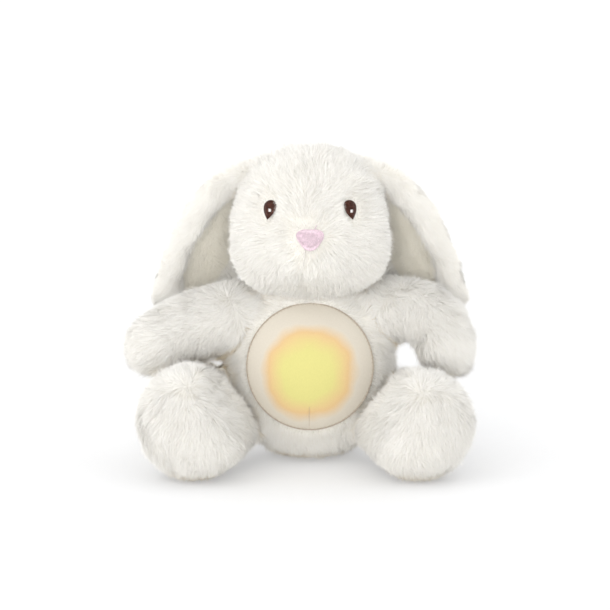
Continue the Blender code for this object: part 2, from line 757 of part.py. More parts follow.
def build_shell(light_frame):
    """The rear cup, with bosses that carry the board and a hole for the lead."""
    top, bottom = -BEZEL_FOOT - CLEARANCE, -SHELL_DEPTH
    floor, inside = bottom + LIGHT_WALL, LIGHT_RADIUS - LIGHT_WALL
    outline = [(LIGHT_RADIUS, top), (LIGHT_RADIUS, bottom + SHELL_ROUND)]
    for step in range(1, 4):
        turn = math.pi / 2 * step / 3
        outline.append((LIGHT_RADIUS - SHELL_ROUND * (1 - math.cos(turn)),
                        bottom + SHELL_ROUND * (1 - math.sin(turn))))
    outline += [(0, bottom), (0, floor), (inside - LIGHT_WALL, floor), (inside, floor + LIGHT_WALL), (inside, top)]
    shell = turned("light_shell", outline, WHITE_PLASTIC, parent=light_frame, closed=True)
    boss_top = -BOARD_DEPTH - BOARD_THICKNESS - CLEARANCE
    length = boss_top - floor + LIGHT_WALL / 2
    middles = [(x, y, boss_top - length / 2) for x, y in boss_places()]
    boolean(shell, rods("shell_bosses", middles, BOSS_RADIUS, length, SMALL_STEPS, parent=light_frame), "UNION")
    boolean(shell, rods("shell_lead_hole", [(0, 0, bottom)], LEAD_BORE_RADIUS / 2, OVERRUN / 2, SMALL_STEPS,
                        parent=light_frame))
    return shell


def build_board(light_frame, shell):
    top = -BOARD_DEPTH
    board = turned("light_board", [(0, top), (BOARD_RADIUS, top), (BOARD_RADIUS, top - BOARD_THICKNESS),
                                   (0, top - BOARD_THICKNESS)], GREEN_BOARD, parent=light_frame)
    bore = SCREW_SHANK_RADIUS + CLEARANCE
    low = top - SCREW_LENGTH - CLEARANCE
    middles = [(x, y, (top + low) / 2) for x, y in boss_places()]
    holes = rods("screw_bores", middles, bore, top - low + 2 * CLEARANCE, SMALL_STEPS, parent=light_frame)
    boolean(board, holes)
    boolean(shell, holes)
    for number, (x, y) in enumerate(boss_places(), 1):
        build_screw("board_screw_%d" % number, (x, y, top + CLEARANCE), light_frame)
    return board


def build_screw(name, seat, parent, rotation=None):
    """A slotted pan screw whose head sits at its seat and points along +Z."""
    edge = SCREW_HEAD_HEIGHT / 2
    screw = turned(name, [
        (0, SCREW_HEAD_HEIGHT), (SCREW_HEAD_RADIUS - edge, SCREW_HEAD_HEIGHT), (SCREW_HEAD_RADIUS, edge),
        (SCREW_HEAD_RADIUS, 0), (SCREW_SHANK_RADIUS, 0), (SCREW_SHANK_RADIUS, -SCREW_LENGTH + SCREW_SHANK_RADIUS),
        (0, -SCREW_LENGTH)], BRIGHT_METAL, SMALL_STEPS, seat, parent, rotation=rotation)
    slot = box(name + "_slot", (-OVERRUN, -SCREW_SLOT_WIDTH / 2, SCREW_HEAD_HEIGHT - SCREW_SLOT_DEPTH),
               (OVERRUN, SCREW_SLOT_WIDTH / 2, SCREW_HEAD_HEIGHT + OVERRUN), parent=screw)
    boolean(screw, slot)
    return screw


def switch_bottom():
    return -BOARD_DEPTH + CLEARANCE


def plunger_top():
    return switch_bottom() + SWITCH_HEIGHT + PLUNGER_PROUD


def build_switch(light_frame):
    low, half = switch_bottom(), SWITCH_SIDE / 2
    top = low + SWITCH_HEIGHT
    body = box("switch_body", (-half, -half, low), (half, half, top), BLACK_PLASTIC, light_frame)
    well = PLUNGER_RADIUS + CLEARANCE
    boolean(body, turned("switch_well", [(0, top + OVERRUN), (well, top + OVERRUN), (well, top - SWITCH_WELL_DEPTH),
                                         (0, top - SWITCH_WELL_DEPTH)], None, SMALL_STEPS, parent=light_frame))
    foot = top - PLUNGER_SUNK
    edge = PLUNGER_RADIUS / 4
    turned("switch_plunger", [(0, plunger_top()), (PLUNGER_RADIUS - edge, plunger_top()),
                              (PLUNGER_RADIUS, plunger_top() - edge), (PLUNGER_RADIUS, foot), (0, foot)],
           BLACK_PLASTIC, SMALL_STEPS, parent=light_frame)


def build_leds(light_frame):
    half = LED_SIDE / 2
    for number in range(4):
        turn = math.tau * number / 4 + math.pi / 4
        x, y = LED_RING_RADIUS * math.cos(turn), LED_RING_RADIUS * math.sin(turn)
        led = box("led_%d" % (number + 1), (x - half, y - half, switch_bottom()),
                  (x + half, y + half, switch_bottom() + LED_HEIGHT), AMBER_LAMP, light_frame)
        bevel = led.modifiers.new("bevel", "BEVEL")
        bevel.width = LED_BEVEL
        bevel.segments = 2


def box_planes():
    """(inner end, open end) of the battery box along Y, its open end being just under the door."""
    open_end = box_face() - DOOR_THICKNESS - CLEARANCE
    return open_end - BOX_DEPTH, open_end


def cell_heights():
    first = BOX_BOTTOM + BOX_WALL + cell_pitch() / 2
    return [first + cell_pitch() * number for number in range(3)]


def cell_depth():
    """The cells' axis along Y: their backs stand just clear of the box's floor."""
    return box_planes()[0] + BOX_WALL + 2 * CLEARANCE + CELL_RADIUS


def door_screw_place():
    top_of_cells = cell_heights()[-1] + cell_pitch() / 2
    return Vector((0, 0, (top_of_cells + box_top()) / 2))


def build_battery_box():
    """A tray with scalloped cradles for three cells, and a boss above them for the door's screw."""
    inner_end, open_end = box_planes()
    tray = box("battery_box", (-box_half_width(), inner_end, BOX_BOTTOM),
               (box_half_width(), open_end, box_top()), BLACK_PLASTIC)
    bevel = tray.modifiers.new("bevel", "BEVEL")
    bevel.width = BOX_BEVEL
    bevel.segments = 1
    inside = box_half_width() - BOX_WALL
    heights = cell_heights()
    cell_bore = CELL_RADIUS + CLEARANCE
    room = box("cell_room_cutter", (-inside, cell_depth() - CELL_RADIUS / 2, heights[0] - cell_bore),
               (inside, open_end + OVERRUN, heights[-1] + cell_bore))
    cradles = rods("cell_cradle_cutter", [(0, cell_depth(), height) for height in heights], cell_bore, 2 * inside,
                   2 * SMALL_STEPS, axis="X")
    boss_bore = rods("door_screw_bore", [(0, open_end, door_screw_place().z)], SCREW_SHANK_RADIUS + CLEARANCE,
                     2 * (SCREW_LENGTH + CLEARANCE), SMALL_STEPS, axis="Y")
    for cutter in (room, cradles, boss_bore):
        boolean(tray, cutter)
    return tray


def build_cells():
    """Three cells laid head to tail, with a contact at each end and a coil spring at each foot."""
    inside = box_half_width() - BOX_WALL
    depth, heights = cell_depth(), cell_heights()
    margin = CELL_RADIUS - CONTACT_MARGIN
    for name, side in (("left", -1), ("right", 1)):
        near = side * (inside - CLEARANCE)
        far = side * (inside - CLEARANCE - CONTACT_THICKNESS)
        box("contact_plate_" + name, (min(near, far), depth - CELL_RADIUS / 2 + CLEARANCE, heights[0] - margin),
            (max(near, far), depth + margin, heights[-1] + margin), BRIGHT_METAL)
    contact_face = inside - CLEARANCE - CONTACT_THICKNESS - CLEARANCE
    for number, height in enumerate(heights, 1):
        side = 1 if number % 2 else -1
        tip = side * contact_face
        quarter = side * math.pi / 2
        body_top = -CELL_NUB_HEIGHT
        foot = body_top - CELL_LENGTH
        edge = CELL_NUB_HEIGHT / 2
        turned("cell_%d" % number, [
            (0, 0), (CELL_NUB_RADIUS, 0), (CELL_NUB_RADIUS, body_top), (CELL_RADIUS - edge, body_top),
            (CELL_RADIUS, body_top - edge), (CELL_RADIUS, foot + edge), (CELL_RADIUS - edge, foot), (0, foot)],
            CELL_SLEEVE, 2 * SMALL_STEPS, (tip, depth, height), rotation=(0, quarter, 0))
        spring_start = tip + side * (foot - CLEARANCE)
        build_spring("cell_spring_%d" % number, (spring_start, depth, height), -side * contact_face, side)


def build_spring(name, start, end, side):
    """A coil from the cell's foot to the contact plate, wound about X."""
    first = start[0] - side * SPRING_WIRE_RADIUS
    last = end + side * SPRING_WIRE_RADIUS
    steps = int(SPRING_TURNS * 8)
    curve = bpy.data.curves.new(name, "CURVE")
    curve.dimensions = "3D"
    curve.bevel_depth = SPRING_WIRE_RADIUS
    curve.bevel_resolution = 1
    curve.use_fill_caps = True
    wire = curve.splines.new("POLY")
    wire.points.add(steps)
    for step, point in enumerate(wire.points):
        turn = math.tau * SPRING_TURNS * step / steps
        along = (last - first) * step / steps
        point.co = (along, SPRING_RADIUS * math.cos(turn), SPRING_RADIUS * math.sin(turn), 1)
    add_object(name, curve, BRIGHT_METAL, (first, start[1], start[2]))


def build_door():
    """The battery door: a flat cover with grip ridges and a sunk hole for its screw."""
    face = box_face()
    door = box("battery_door", (-box_half_width(), face - DOOR_THICKNESS, BOX_BOTTOM),
               (box_half_width(), face, box_top()), BLACK_PLASTIC)
    bevel = door.modifiers.new("bevel", "BEVEL")
    bevel.width = BOX_BEVEL / 2
    bevel.segments = 1
    middle = cell_heights()[0]
    for number in range(DOOR_GRIPS):
        low = middle + 2 * DOOR_GRIP_WIDTH * number
        grip = box("door_grip_%d" % (number + 1), (-DOOR_GRIP_LENGTH, face - DOOR_THICKNESS / 2, low),
                   (DOOR_GRIP_LENGTH, face + DOOR_GRIP_HEIGHT, low + DOOR_GRIP_WIDTH))
        boolean(door, grip, "UNION")
    height = door_screw_place().z
    seat = face - SCREW_HEAD_HEIGHT
    boolean(door, rods("door_screw_hole", [(0, face, height)], SCREW_SHANK_RADIUS + CLEARANCE, OVERRUN, SMALL_STEPS,
                       axis="Y"))
    boolean(door, rods("door_screw_sink", [(0, seat + OVERRUN / 2, height)], SCREW_HEAD_RADIUS + CLEARANCE, OVERRUN,
                       SMALL_STEPS, axis="Y"))
    build_screw("door_screw", (0, seat + CLEARANCE, height), None, (-math.pi / 2, 0, 0))
    return door


def build_flap():
    """The pile flap over the battery door, hinged at its top seam, and its hook-and-loop strips."""
    faces = tube_faces(TORSO_RINGS, TORSO_SEGMENTS)
    bottom, top = flap_heights()
    hinge = surface_hit(torso_points(0), faces, (0, 0, top), (0, 1, 0))
    flap_shell("back_flap", flap_half_width(), bottom, top, FLAP_ROUND, 0, FLAP_THICKNESS, PILE, hinge)
    low = bottom + STRIP_EDGE
    half = flap_half_width() - STRIP_SIDE_MARGIN
    loop_top = FLAP_THICKNESS + CLEARANCE
    flap_shell("loop_strip", half, low, low + STRIP_HEIGHT, STRIP_ROUND, loop_top, loop_top + STRIP_THICKNESS,
               WHITE_TAPE, hinge)
    hook_top = loop_top + STRIP_THICKNESS + CLEARANCE
    flap_shell("hook_strip", half, low, low + STRIP_HEIGHT, STRIP_ROUND, hook_top, hook_top + STRIP_THICKNESS,
               WHITE_TAPE, (0, TORSO_BACK_DEPTH, low))


def build_lead(light_frame):
    """The lead, from under the light's board to the battery box, sagging a little in the torso's bore."""
    start = light_frame.matrix_world @ Vector((0, 0, -BOARD_DEPTH - BOARD_THICKNESS - CLEARANCE))
    out = light_frame.matrix_world.to_3x3() @ Vector((0, 0, -1))
    throat = start + out * (SHELL_DEPTH - BOARD_DEPTH)
    end = Vector((0, box_planes()[0] - CLEARANCE, lead_height()))
    middle = (throat + end) / 2 - Vector((0, 0, LEAD_SAG))
    level = Vector((0, (middle.y + end.y) / 2, end.z))
    curve = bpy.data.curves.new("power_lead", "CURVE")
    curve.dimensions = "3D"
    curve.bevel_depth = LEAD_RADIUS
    curve.bevel_resolution = 2
    curve.use_fill_caps = True
    wire = curve.splines.new("POLY")
    steps = 2 * ARC_STEPS
    wire.points.add(steps)
    for step, point in enumerate(wire.points):
        share = step / steps
        half = (start, throat, middle) if share < 0.5 else (middle, level, end)
        place = blend_of_three(half, 2 * share % 1 if share < 1 else 1)
        point.co = (*(place - start), 1)
    add_object("power_lead", curve, RED_SLEEVE, start)


def main():
    clear_scene()
    light_frame = build_light_frame()
    bpy.context.view_layer.update()
    cutters = build_cutters(light_frame)
    build_torso(cutters, light_frame)
    build_head(cutters)
    build_arm("left", LEFT_ARM_ROUTE, LEFT_ARM_RADII, cutters)
    build_arm("right", RIGHT_ARM_ROUTE, RIGHT_ARM_RADII, cutters)
    build_leg("left", LEFT_LEG_ROUTE, 1, LEFT_HIP_HINGE, cutters)
    build_leg("right", RIGHT_LEG_ROUTE, RIGHT_LEG_SIZE_SHARE, RIGHT_HIP_HINGE, cutters)
    build_ear("left", -1, cutters)
    build_ear("right", 1, cutters)
    build_tail(cutters)
    build_face()
    build_window(light_frame)
    build_cap(light_frame)
    build_bezel(light_frame)
    shell = build_shell(light_frame)
    build_board(light_frame, shell)
    build_switch(light_frame)
    build_leds(light_frame)
    build_battery_box()
    build_cells()
    build_door()
    build_flap()
    build_lead(light_frame)


main()
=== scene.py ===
import math

import bmesh
import bpy
import numpy as np
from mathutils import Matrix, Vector
from mathutils.bvhtree import BVHTree
from mathutils.kdtree import KDTree


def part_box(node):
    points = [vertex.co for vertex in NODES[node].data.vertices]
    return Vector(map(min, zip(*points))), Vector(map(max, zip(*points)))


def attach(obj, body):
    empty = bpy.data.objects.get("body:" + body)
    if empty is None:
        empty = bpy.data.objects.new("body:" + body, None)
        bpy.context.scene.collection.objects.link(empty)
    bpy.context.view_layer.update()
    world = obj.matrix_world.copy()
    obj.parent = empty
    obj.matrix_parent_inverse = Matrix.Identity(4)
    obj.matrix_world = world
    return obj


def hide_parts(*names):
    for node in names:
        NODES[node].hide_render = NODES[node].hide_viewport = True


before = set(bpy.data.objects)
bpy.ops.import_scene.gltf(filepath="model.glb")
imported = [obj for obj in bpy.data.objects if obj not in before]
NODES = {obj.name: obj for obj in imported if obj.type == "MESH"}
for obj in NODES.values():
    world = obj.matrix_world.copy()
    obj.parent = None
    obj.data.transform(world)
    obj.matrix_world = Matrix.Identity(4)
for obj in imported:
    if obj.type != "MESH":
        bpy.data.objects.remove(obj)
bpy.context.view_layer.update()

bl_info = {
    "name": "Plush Rabbit Night Light",
    "version": (1, 0, 0),
    "blender": (4, 5, 0),
    "location": "3D View > Sidebar > Night Light",
    "description": "Dresses the seated plush rabbit with its pile, glowing belly window, face and stage",
    "category": "Object",
}

ROOT_BODY = "stuffed_body"

# Places and sizes taken from the solids, in metres

WINDOW_CENTRE = np.array([0.0, -0.0435, 0.0765])
WINDOW_OUT = np.array([0.0, -0.990152, 0.14])
WINDOW_UP = np.array([0.0, 0.14, 0.990152])
WINDOW_RADIUS = 0.047
WINDOW_CROWN = 0.0165
TORSO_CENTRE = np.array([0.0, 0.0, 0.070])
TORSO_HALF = (0.065, 0.060, 0.0705)
TORSO_BACK = 0.046
GLOW_CENTRE = (-0.0010, -0.0600, 0.0739)
FLAP_HALF_WIDTH = 0.031
FLAP_LOW = 0.045
FLAP_HIGH = 0.106
NOSE_TIP = np.array([-0.0025, -0.0685, 0.1775])
EYES = (np.array([-0.0298, -0.058, 0.1965]), np.array([0.0298, -0.058, 0.1965]))
DOWN = np.array([0.0, 0.0, -1.0])
BACK = np.array([0.0, 1.0, 0.0])

# How the pile grows

STRAND_CELLS = 256
PIECE_FIBRES = 62000
TOUCHING = 0.0006
FIBRE_LEAN = 0.9
LOOSE_SHARE = 0.14
ROOT_DEPTH = 0.0006
LOWEST_FIBRE = 0.0003
BRUSHED_BACK = 0.45
# Painted shade: how strongly the pile and its backing take the cream fold shade in deep folds
FOLD_SHADE_STRENGTH = 0.9
GROUND_FOLD_SHADE = 0.45
ROOM_LIGHT = np.array([-0.20, -0.90, 0.39])

# How the ears and the window are shaped

EAR_SINK = 0.0014
EAR_ROLL = 0.0048
EAR_TUCK = 0.0100
CLOTH_THICKNESS = 0.0009
SEAM_RADIUS = 0.00045
STITCHES = 104


# Sizes and colours that a user would change


class PileSettings(bpy.types.PropertyGroup):
    """The plush pile"""

    length: bpy.props.FloatProperty(
        name="Pile length", description="Length of a fibre on the body", default=0.0108, min=0.002,
        unit="LENGTH"
    )
    width: bpy.props.FloatProperty(
        name="Fibre width", description="Width of a fibre at its root", default=0.00032, min=0.00005,
        unit="LENGTH"
    )
    clump: bpy.props.FloatProperty(
        name="Clump spacing", description="Distance between the clumps of fibres", default=0.0042,
        unit="LENGTH"
    )
    density: bpy.props.FloatProperty(
        name="Density", description="Share of the full number of fibres", default=1.0, min=0.01, max=1.0
    )
    tip_colour: bpy.props.FloatVectorProperty(
        name="Tip colour", description="Fibre tips", default=(0.985, 0.978, 0.958), size=3, subtype="COLOR"
    )
    root_colour: bpy.props.FloatVectorProperty(
        name="Root colour", description="Fibre roots", default=(0.94, 0.915, 0.85), size=3, subtype="COLOR"
    )
    # Painted shade: the warm cream-tan that stands for the dim light deep in the folds
    hollow_colour: bpy.props.FloatVectorProperty(
        name="Hollow colour", description="Pile in the deep folds", default=(0.86, 0.73, 0.50), size=3,
        subtype="COLOR"
    )
    lining_colour: bpy.props.FloatVectorProperty(
        name="Lining colour", description="Short pile inside the ears", default=(0.985, 0.955, 0.865), size=3,
        subtype="COLOR"
    )


class WindowSettings(bpy.types.PropertyGroup):
    """The glowing belly window"""

    # Core and rim colours are the real glow that the cloth gives off, and are also painted into the cloth's
    # own colour as painted light
    core_colour: bpy.props.FloatVectorProperty(
        name="Core colour", description="Glow at the middle", default=(0.555, 0.52, 0.195), size=3,
        subtype="COLOR"
    )
    rim_colour: bpy.props.FloatVectorProperty(
        name="Rim colour", description="Edge of the glow", default=(0.60, 0.42, 0.215), size=3,
        subtype="COLOR"
    )
    cloth_colour: bpy.props.FloatVectorProperty(
        name="Cloth colour", description="Cloth outside the glow", default=(0.62, 0.572, 0.49), size=3,
        subtype="COLOR"
    )
    seam_colour: bpy.props.FloatVectorProperty(
        name="Seam colour", description="Thread round the window", default=(0.46, 0.385, 0.31), size=3,
        subtype="COLOR"
    )
    glow: bpy.props.FloatProperty(
        name="Glow", description="Light that the cloth lets out", default=0.16, min=0.0, max=2.0
    )


class FaceSettings(bpy.types.PropertyGroup):
    """The embroidered face"""

    eye_colour: bpy.props.FloatVectorProperty(
        name="Eye colour", description="Eye thread", default=(0.050, 0.013, 0.006), size=3, subtype="COLOR"
    )
    nose_colour: bpy.props.FloatVectorProperty(
        name="Nose colour", description="Nose thread", default=(0.73, 0.58, 0.65), size=3, subtype="COLOR"
    )
    thread: bpy.props.FloatProperty(
        name="Thread radius", description="Half the thickness of a thread", default=0.00027, unit="LENGTH"
    )


class StageSettings(bpy.types.PropertyGroup):
    """Camera, lamps and the light of the surroundings"""

    lens: bpy.props.FloatProperty(name="Lens", description="Focal length", default=200.0, unit="CAMERA")
    distance: bpy.props.FloatProperty(
        name="Distance", description="Camera to the middle of the rabbit", default=2.5214, unit="LENGTH"
    )
    elevation: bpy.props.FloatProperty(
        name="Elevation", description="Camera's angle above the floor", default=math.radians(11.0),
        unit="ROTATION"
    )
    key: bpy.props.FloatProperty(name="Key lamp", description="Strength of the window light", default=0.72)
    lamp: bpy.props.FloatProperty(
        name="Front lamp", description="Strength of the wide lamp in front", default=1.98
    )
    front: bpy.props.FloatProperty(
        name="Front light", description="Strength of the surroundings on the camera's side", default=0.58
    )
    fill: bpy.props.FloatProperty(name="Fill", description="Strength of the light all round", default=1.2)


# Small mesh tools


def coords(mesh):
    flat = np.empty(len(mesh.vertices) * 3)
    mesh.vertices.foreach_get("co", flat)
    return flat.reshape(-1, 3)


def normals(mesh):
    flat = np.empty(len(mesh.vertices) * 3)
    mesh.vertices.foreach_get("normal", flat)
    return flat.reshape(-1, 3)


def set_coords(mesh, points):
    mesh.vertices.foreach_set("co", np.asarray(points, float).ravel())
    mesh.update()


def unit(rows):
    return rows / np.maximum(np.linalg.norm(rows, axis=-1, keepdims=True), 1e-9)


def smooth_step(value, low, high):
    share = np.clip((value - low) / (high - low), 0.0, 1.0)
    return share * share * (3.0 - 2.0 * share)


def soft_noise(points, wave, seed):
    rng = np.random.default_rng(seed)
    total = np.zeros(len(points))
    waves = 6
    for _ in range(waves):
        way = unit(rng.normal(size=3))
        turns = 2.0 * math.pi / (wave * rng.uniform(0.7, 1.5))
        total += np.sin(points @ way * turns + rng.uniform(0.0, 2.0 * math.pi))
    return total / math.sqrt(waves)


def add_object(name, mesh):
    obj = bpy.data.objects.new(name, mesh)
    bpy.context.scene.collection.objects.link(obj)
    return obj


def add_mesh(name, points, faces, smooth=True):
    mesh = bpy.data.meshes.new(name)
    mesh.from_pydata([tuple(p) for p in points], [], [tuple(f) for f in faces])
    mesh.polygons.foreach_set("use_smooth", [smooth] * len(mesh.polygons))
    mesh.update()
    return add_object(name, mesh)


def solid_copy(nodes, name):
    """A closed copy of the CAD nodes' meshes, with their doubled corners merged."""
    bm = bmesh.new()
    for part in nodes:
        bm.from_mesh(NODES[part].data)
    bmesh.ops.remove_doubles(bm, verts=bm.verts, dist=1e-6)
    bmesh.ops.recalc_face_normals(bm, faces=bm.faces)
    mesh = bpy.data.meshes.new(name)
    bm.to_mesh(mesh)
    bm.free()
    return add_object(name, mesh)


def apply_modifiers(obj):
    bpy.context.view_layer.update()
    graph = bpy.context.evaluated_depsgraph_get()
    made = bpy.data.meshes.new_from_object(obj.evaluated_get(graph))
    old = obj.data
    obj.modifiers.clear()
    obj.data = made
    made.name = obj.name
    bpy.data.meshes.remove(old)


def tree_of(*names):
    points = []
    faces = []
    for name in names:
        mesh = (NODES[name] if name in NODES else bpy.data.objects[name]).data
        start = len(points)
        points.extend(v.co.copy() for v in mesh.vertices)
        faces.extend([start + i for i in p.vertices] for p in mesh.polygons)
    return BVHTree.FromPolygons(points, faces)


def tube(points, radii, sides=6):
    """Corners and faces of a closed round thread along a row of points."""
    points = np.asarray(points, float)
    along = unit(np.gradient(points, axis=0))
    side = unit(np.cross(along, (0.31, 0.17, 0.93)))
    over = np.cross(side, along)
    angles = np.arange(sides) * 2.0 * math.pi / sides
    corners = []
    for spot, a, b, radius in zip(points, side, over, radii):
        for angle in angles:
            corners.append(spot + radius * (a * math.cos(angle) + b * math.sin(angle)))
    faces = []
    for i in range(len(points) - 1):
        for j in range(sides):
            k = (j + 1) % sides
            faces.append((i * sides + j, i * sides + k, (i + 1) * sides + k, (i + 1) * sides + j))
    last = (len(points) - 1) * sides
    faces.append(tuple(range(sides))[::-1])
    faces.append(tuple(range(last, last + sides)))
    return corners, faces


def join_parts(parts):
    corners = []
    faces = []
    for some, rows in parts:
        start = len(corners)
        corners.extend(some)
        faces.extend(tuple(start + i for i in row) for row in rows)
    return corners, faces


# Material tools


def start_material(name, roughness, sheen=0.0, specular=0.5, metallic=0.0):
    mat = bpy.data.materials.new(name)
    mat.use_nodes = True
    shader = mat.node_tree.nodes["Principled BSDF"]
    shader.inputs["Roughness"].default_value = roughness
    shader.inputs["Sheen Weight"].default_value = sheen
    shader.inputs["Specular IOR Level"].default_value = specular
    shader.inputs["Metallic"].default_value = metallic
    return mat, shader


def node(mat, kind, **values):
    made = mat.node_tree.nodes.new(kind)
    for name, value in values.items():
        if hasattr(made, name):
            setattr(made, name, value)
        else:
            made.inputs[name.replace("_", " ")].default_value = value
    return made


def wire(mat, source, target):
    mat.node_tree.links.new(source, target)


def ramp(mat, factor, stops):
    made = mat.node_tree.nodes.new("ShaderNodeValToRGB")
    row = made.color_ramp.elements
    row[0].position, row[0].color = stops[0][0], (*stops[0][1], 1.0)
    row[1].position, row[1].color = stops[-1][0], (*stops[-1][1], 1.0)
    for place, colour in stops[1:-1]:
        added = row.new(place)
        added.color = (*colour, 1.0)
    wire(mat, factor, made.inputs["Fac"])
    return made.outputs["Color"]


def mix(mat, factor, first, second, blend="MIX"):
    made = mat.node_tree.nodes.new("ShaderNodeMix")
    made.data_type = "RGBA"
    made.blend_type = blend
    for socket, value in ((made.inputs[0], factor), (made.inputs[6], first), (made.inputs[7], second)):
        if isinstance(value, bpy.types.NodeSocket):
            wire(mat, value, socket)
        elif isinstance(value, (int, float)):
            socket.default_value = value
        else:
            socket.default_value = (*value, 1.0)
    return made.outputs[2]


def scaled(colour, share):
    return tuple(part * share for part in colour)


def place_socket(mat, scale=(1.0, 1.0, 1.0)):
    where = node(mat, "ShaderNodeTexCoord")
    turned = node(mat, "ShaderNodeMapping")
    turned.inputs["Scale"].default_value = scale
    wire(mat, where.outputs["Object"], turned.inputs["Vector"])
    return turned.outputs["Vector"]


def bump_from(mat, shader, height, strength, distance):
    made = node(mat, "ShaderNodeBump")
    made.inputs["Strength"].default_value = strength
    made.inputs["Distance"].default_value = distance
    wire(mat, height, made.inputs["Height"])
    wire(mat, made.outputs["Normal"], shader.inputs["Normal"])


def noise_socket(mat, scale, detail=3.0, stretch=(1.0, 1.0, 1.0)):
    made = node(mat, "ShaderNodeTexNoise")
    made.inputs["Scale"].default_value = scale
    made.inputs["Detail"].default_value = detail
    wire(mat, place_socket(mat, stretch), made.inputs["Vector"])
    return made.outputs["Fac"]


def tone_sockets(mat):
    """The pile's stored tones: red along a fibre, green the painted shade in the folds, blue from fibre to
    fibre.
    """
    tone = node(mat, "ShaderNodeAttribute", attribute_name="pile_tone")
    parts = node(mat, "ShaderNodeSeparateColor")
    wire(mat, tone.outputs["Color"], parts.inputs["Color"])
    return parts


def pile_material(name, settings, tip, root):
    """Fibres: paler at the tip, with painted cream shade where the pile lies in a deep fold."""
    mat, shader = start_material(name, 0.9, sheen=0.25, specular=0.15)
    mixed = tuple(0.25 * a + 0.75 * b for a, b in zip(root, tip))
    parts = tone_sockets(mat)
    along = ramp(mat, parts.outputs["Red"], [(0.0, root), (0.6, mixed), (1.0, tip)])
    # Painted shade: the cream-tan fold colour mixed in where the pile lies deep in a fold
    fold_shaded = mix(mat, parts.outputs["Green"], along, tuple(settings.hollow_colour))
    mottled = ramp(mat, noise_socket(mat, 45.0, 2.0), [(0.3, (0.965, 0.962, 0.955)), (0.7, (1.0, 1.0, 1.0))])
    varied = ramp(mat, parts.outputs["Blue"],
                  [(0.0, (0.95, 0.94, 0.92)), (0.6, (0.985, 0.98, 0.97)), (1.0, (1.0, 1.0, 1.0))])
    mottled = mix(mat, 1.0, mottled, varied, "MULTIPLY")
    wire(mat, mix(mat, 1.0, fold_shaded, mottled, "MULTIPLY"), shader.inputs["Base Color"])
    return mat


def ground_material(name, settings, colour):
    """Knitted backing that the pile stands on, felted with loose fibre, darker where the pile is short, with
    painted cream shade in the deep folds.
    """
    mat, shader = start_material(name, 0.95, sheen=0.3, specular=0.1)
    parts = tone_sockets(mat)
    felted = noise_socket(mat, 900.0, 4.0, (1.0, 1.0, 0.35))
    base = ramp(mat, felted, [(0.3, scaled(colour, 0.86)), (0.7, colour)])
    darker = ramp(mat, felted, [(0.3, scaled(colour, 0.64)), (0.7, scaled(colour, 0.84))])
    short = mix(mat, parts.outputs["Red"], base, darker)
    # Painted shade: the cream-tan fold colour mixed into the backing in deep folds
    fold_shaded = mix(mat, parts.outputs["Green"], short, tuple(settings.hollow_colour))
    wire(mat, fold_shaded, shader.inputs["Base Color"])
    bump_from(mat, shader, felted, 0.5, 0.0006)
    return mat


def thread_material(name, colour, painted_glint, streak_scale=(0.15, 1.0, 1.0), roughness=0.5):
    """Satin thread: fine streaks that run along the stitches, and patches of a paler painted glint."""
    mat, shader = start_material(name, roughness, sheen=0.04, specular=0.25)
    streaks = noise_socket(mat, 2600.0, 2.0, streak_scale)
    patch = noise_socket(mat, 420.0, 1.0)
    base = ramp(mat, streaks, [(0.35, scaled(colour, 0.72)), (0.62, colour)])
    # Painted highlight: patches mixed toward the paler glint colour
    painted_glint_patches = ramp(mat, patch, [(0.5, (0.0,) * 3), (0.72, (0.55,) * 3)])
    wire(mat, mix(mat, painted_glint_patches, base, painted_glint), shader.inputs["Base Color"])
    bump_from(mat, shader, streaks, 0.25, 0.0001)
    return mat


def plastic_material(name, colour, roughness=0.4, grain=0.12):
    """Moulded plastic with a fine spark-eroded grain and faint flow marks."""
    mat, shader = start_material(name, roughness, specular=0.5)
    flow = noise_socket(mat, 38.0, 2.0, (1.0, 1.0, 0.3))
    wire(mat, ramp(mat, flow, [(0.3, scaled(colour, 0.93)), (0.7, colour)]), shader.inputs["Base Color"])
    smooth, dull = (roughness - 0.06,) * 3, (roughness + 0.08,) * 3
    rough = ramp(mat, noise_socket(mat, 160.0), [(0.3, smooth), (0.7, dull)])
    wire(mat, rough, shader.inputs["Roughness"])
    bump_from(mat, shader, noise_socket(mat, 3200.0, 2.0), grain, 0.00008)
    return mat


def metal_material(name, colour):
    """Plated steel with fine drawing lines and small dull patches."""
    mat, shader = start_material(name, 0.28, metallic=1.0)
    lines = noise_socket(mat, 1500.0, 3.0, (1.0, 1.0, 8.0))
    wire(mat, ramp(mat, lines, [(0.3, scaled(colour, 0.8)), (0.7, colour)]), shader.inputs["Base Color"])
    rough = ramp(mat, noise_socket(mat, 240.0), [(0.35, (0.22,) * 3), (0.7, (0.42,) * 3)])
    wire(mat, rough, shader.inputs["Roughness"])
    bump_from(mat, shader, lines, 0.15, 0.00005)
    return mat


def tape_material(name, colour, pitch):
    """Hook or loop tape: close rows of small loops on a woven ground, darker between the loops as painted
    shade.
    """
    mat, shader = start_material(name, 0.75, sheen=0.2, specular=0.3)
    cells = node(mat, "ShaderNodeTexVoronoi", Scale=1.0 / pitch, Randomness=0.25)
    wire(mat, place_socket(mat), cells.inputs["Vector"])
    far = cells.outputs["Distance"]
    # Painted shade: darker in the gaps between the loops
    wire(mat, ramp(mat, far, [(0.1, colour), (0.6, scaled(colour, 0.62))]), shader.inputs["Base Color"])
    bump_from(mat, shader, ramp(mat, far, [(0.0, (1.0,) * 3), (0.6, (0.0,) * 3)]), 0.8, 0.0006)
    return mat


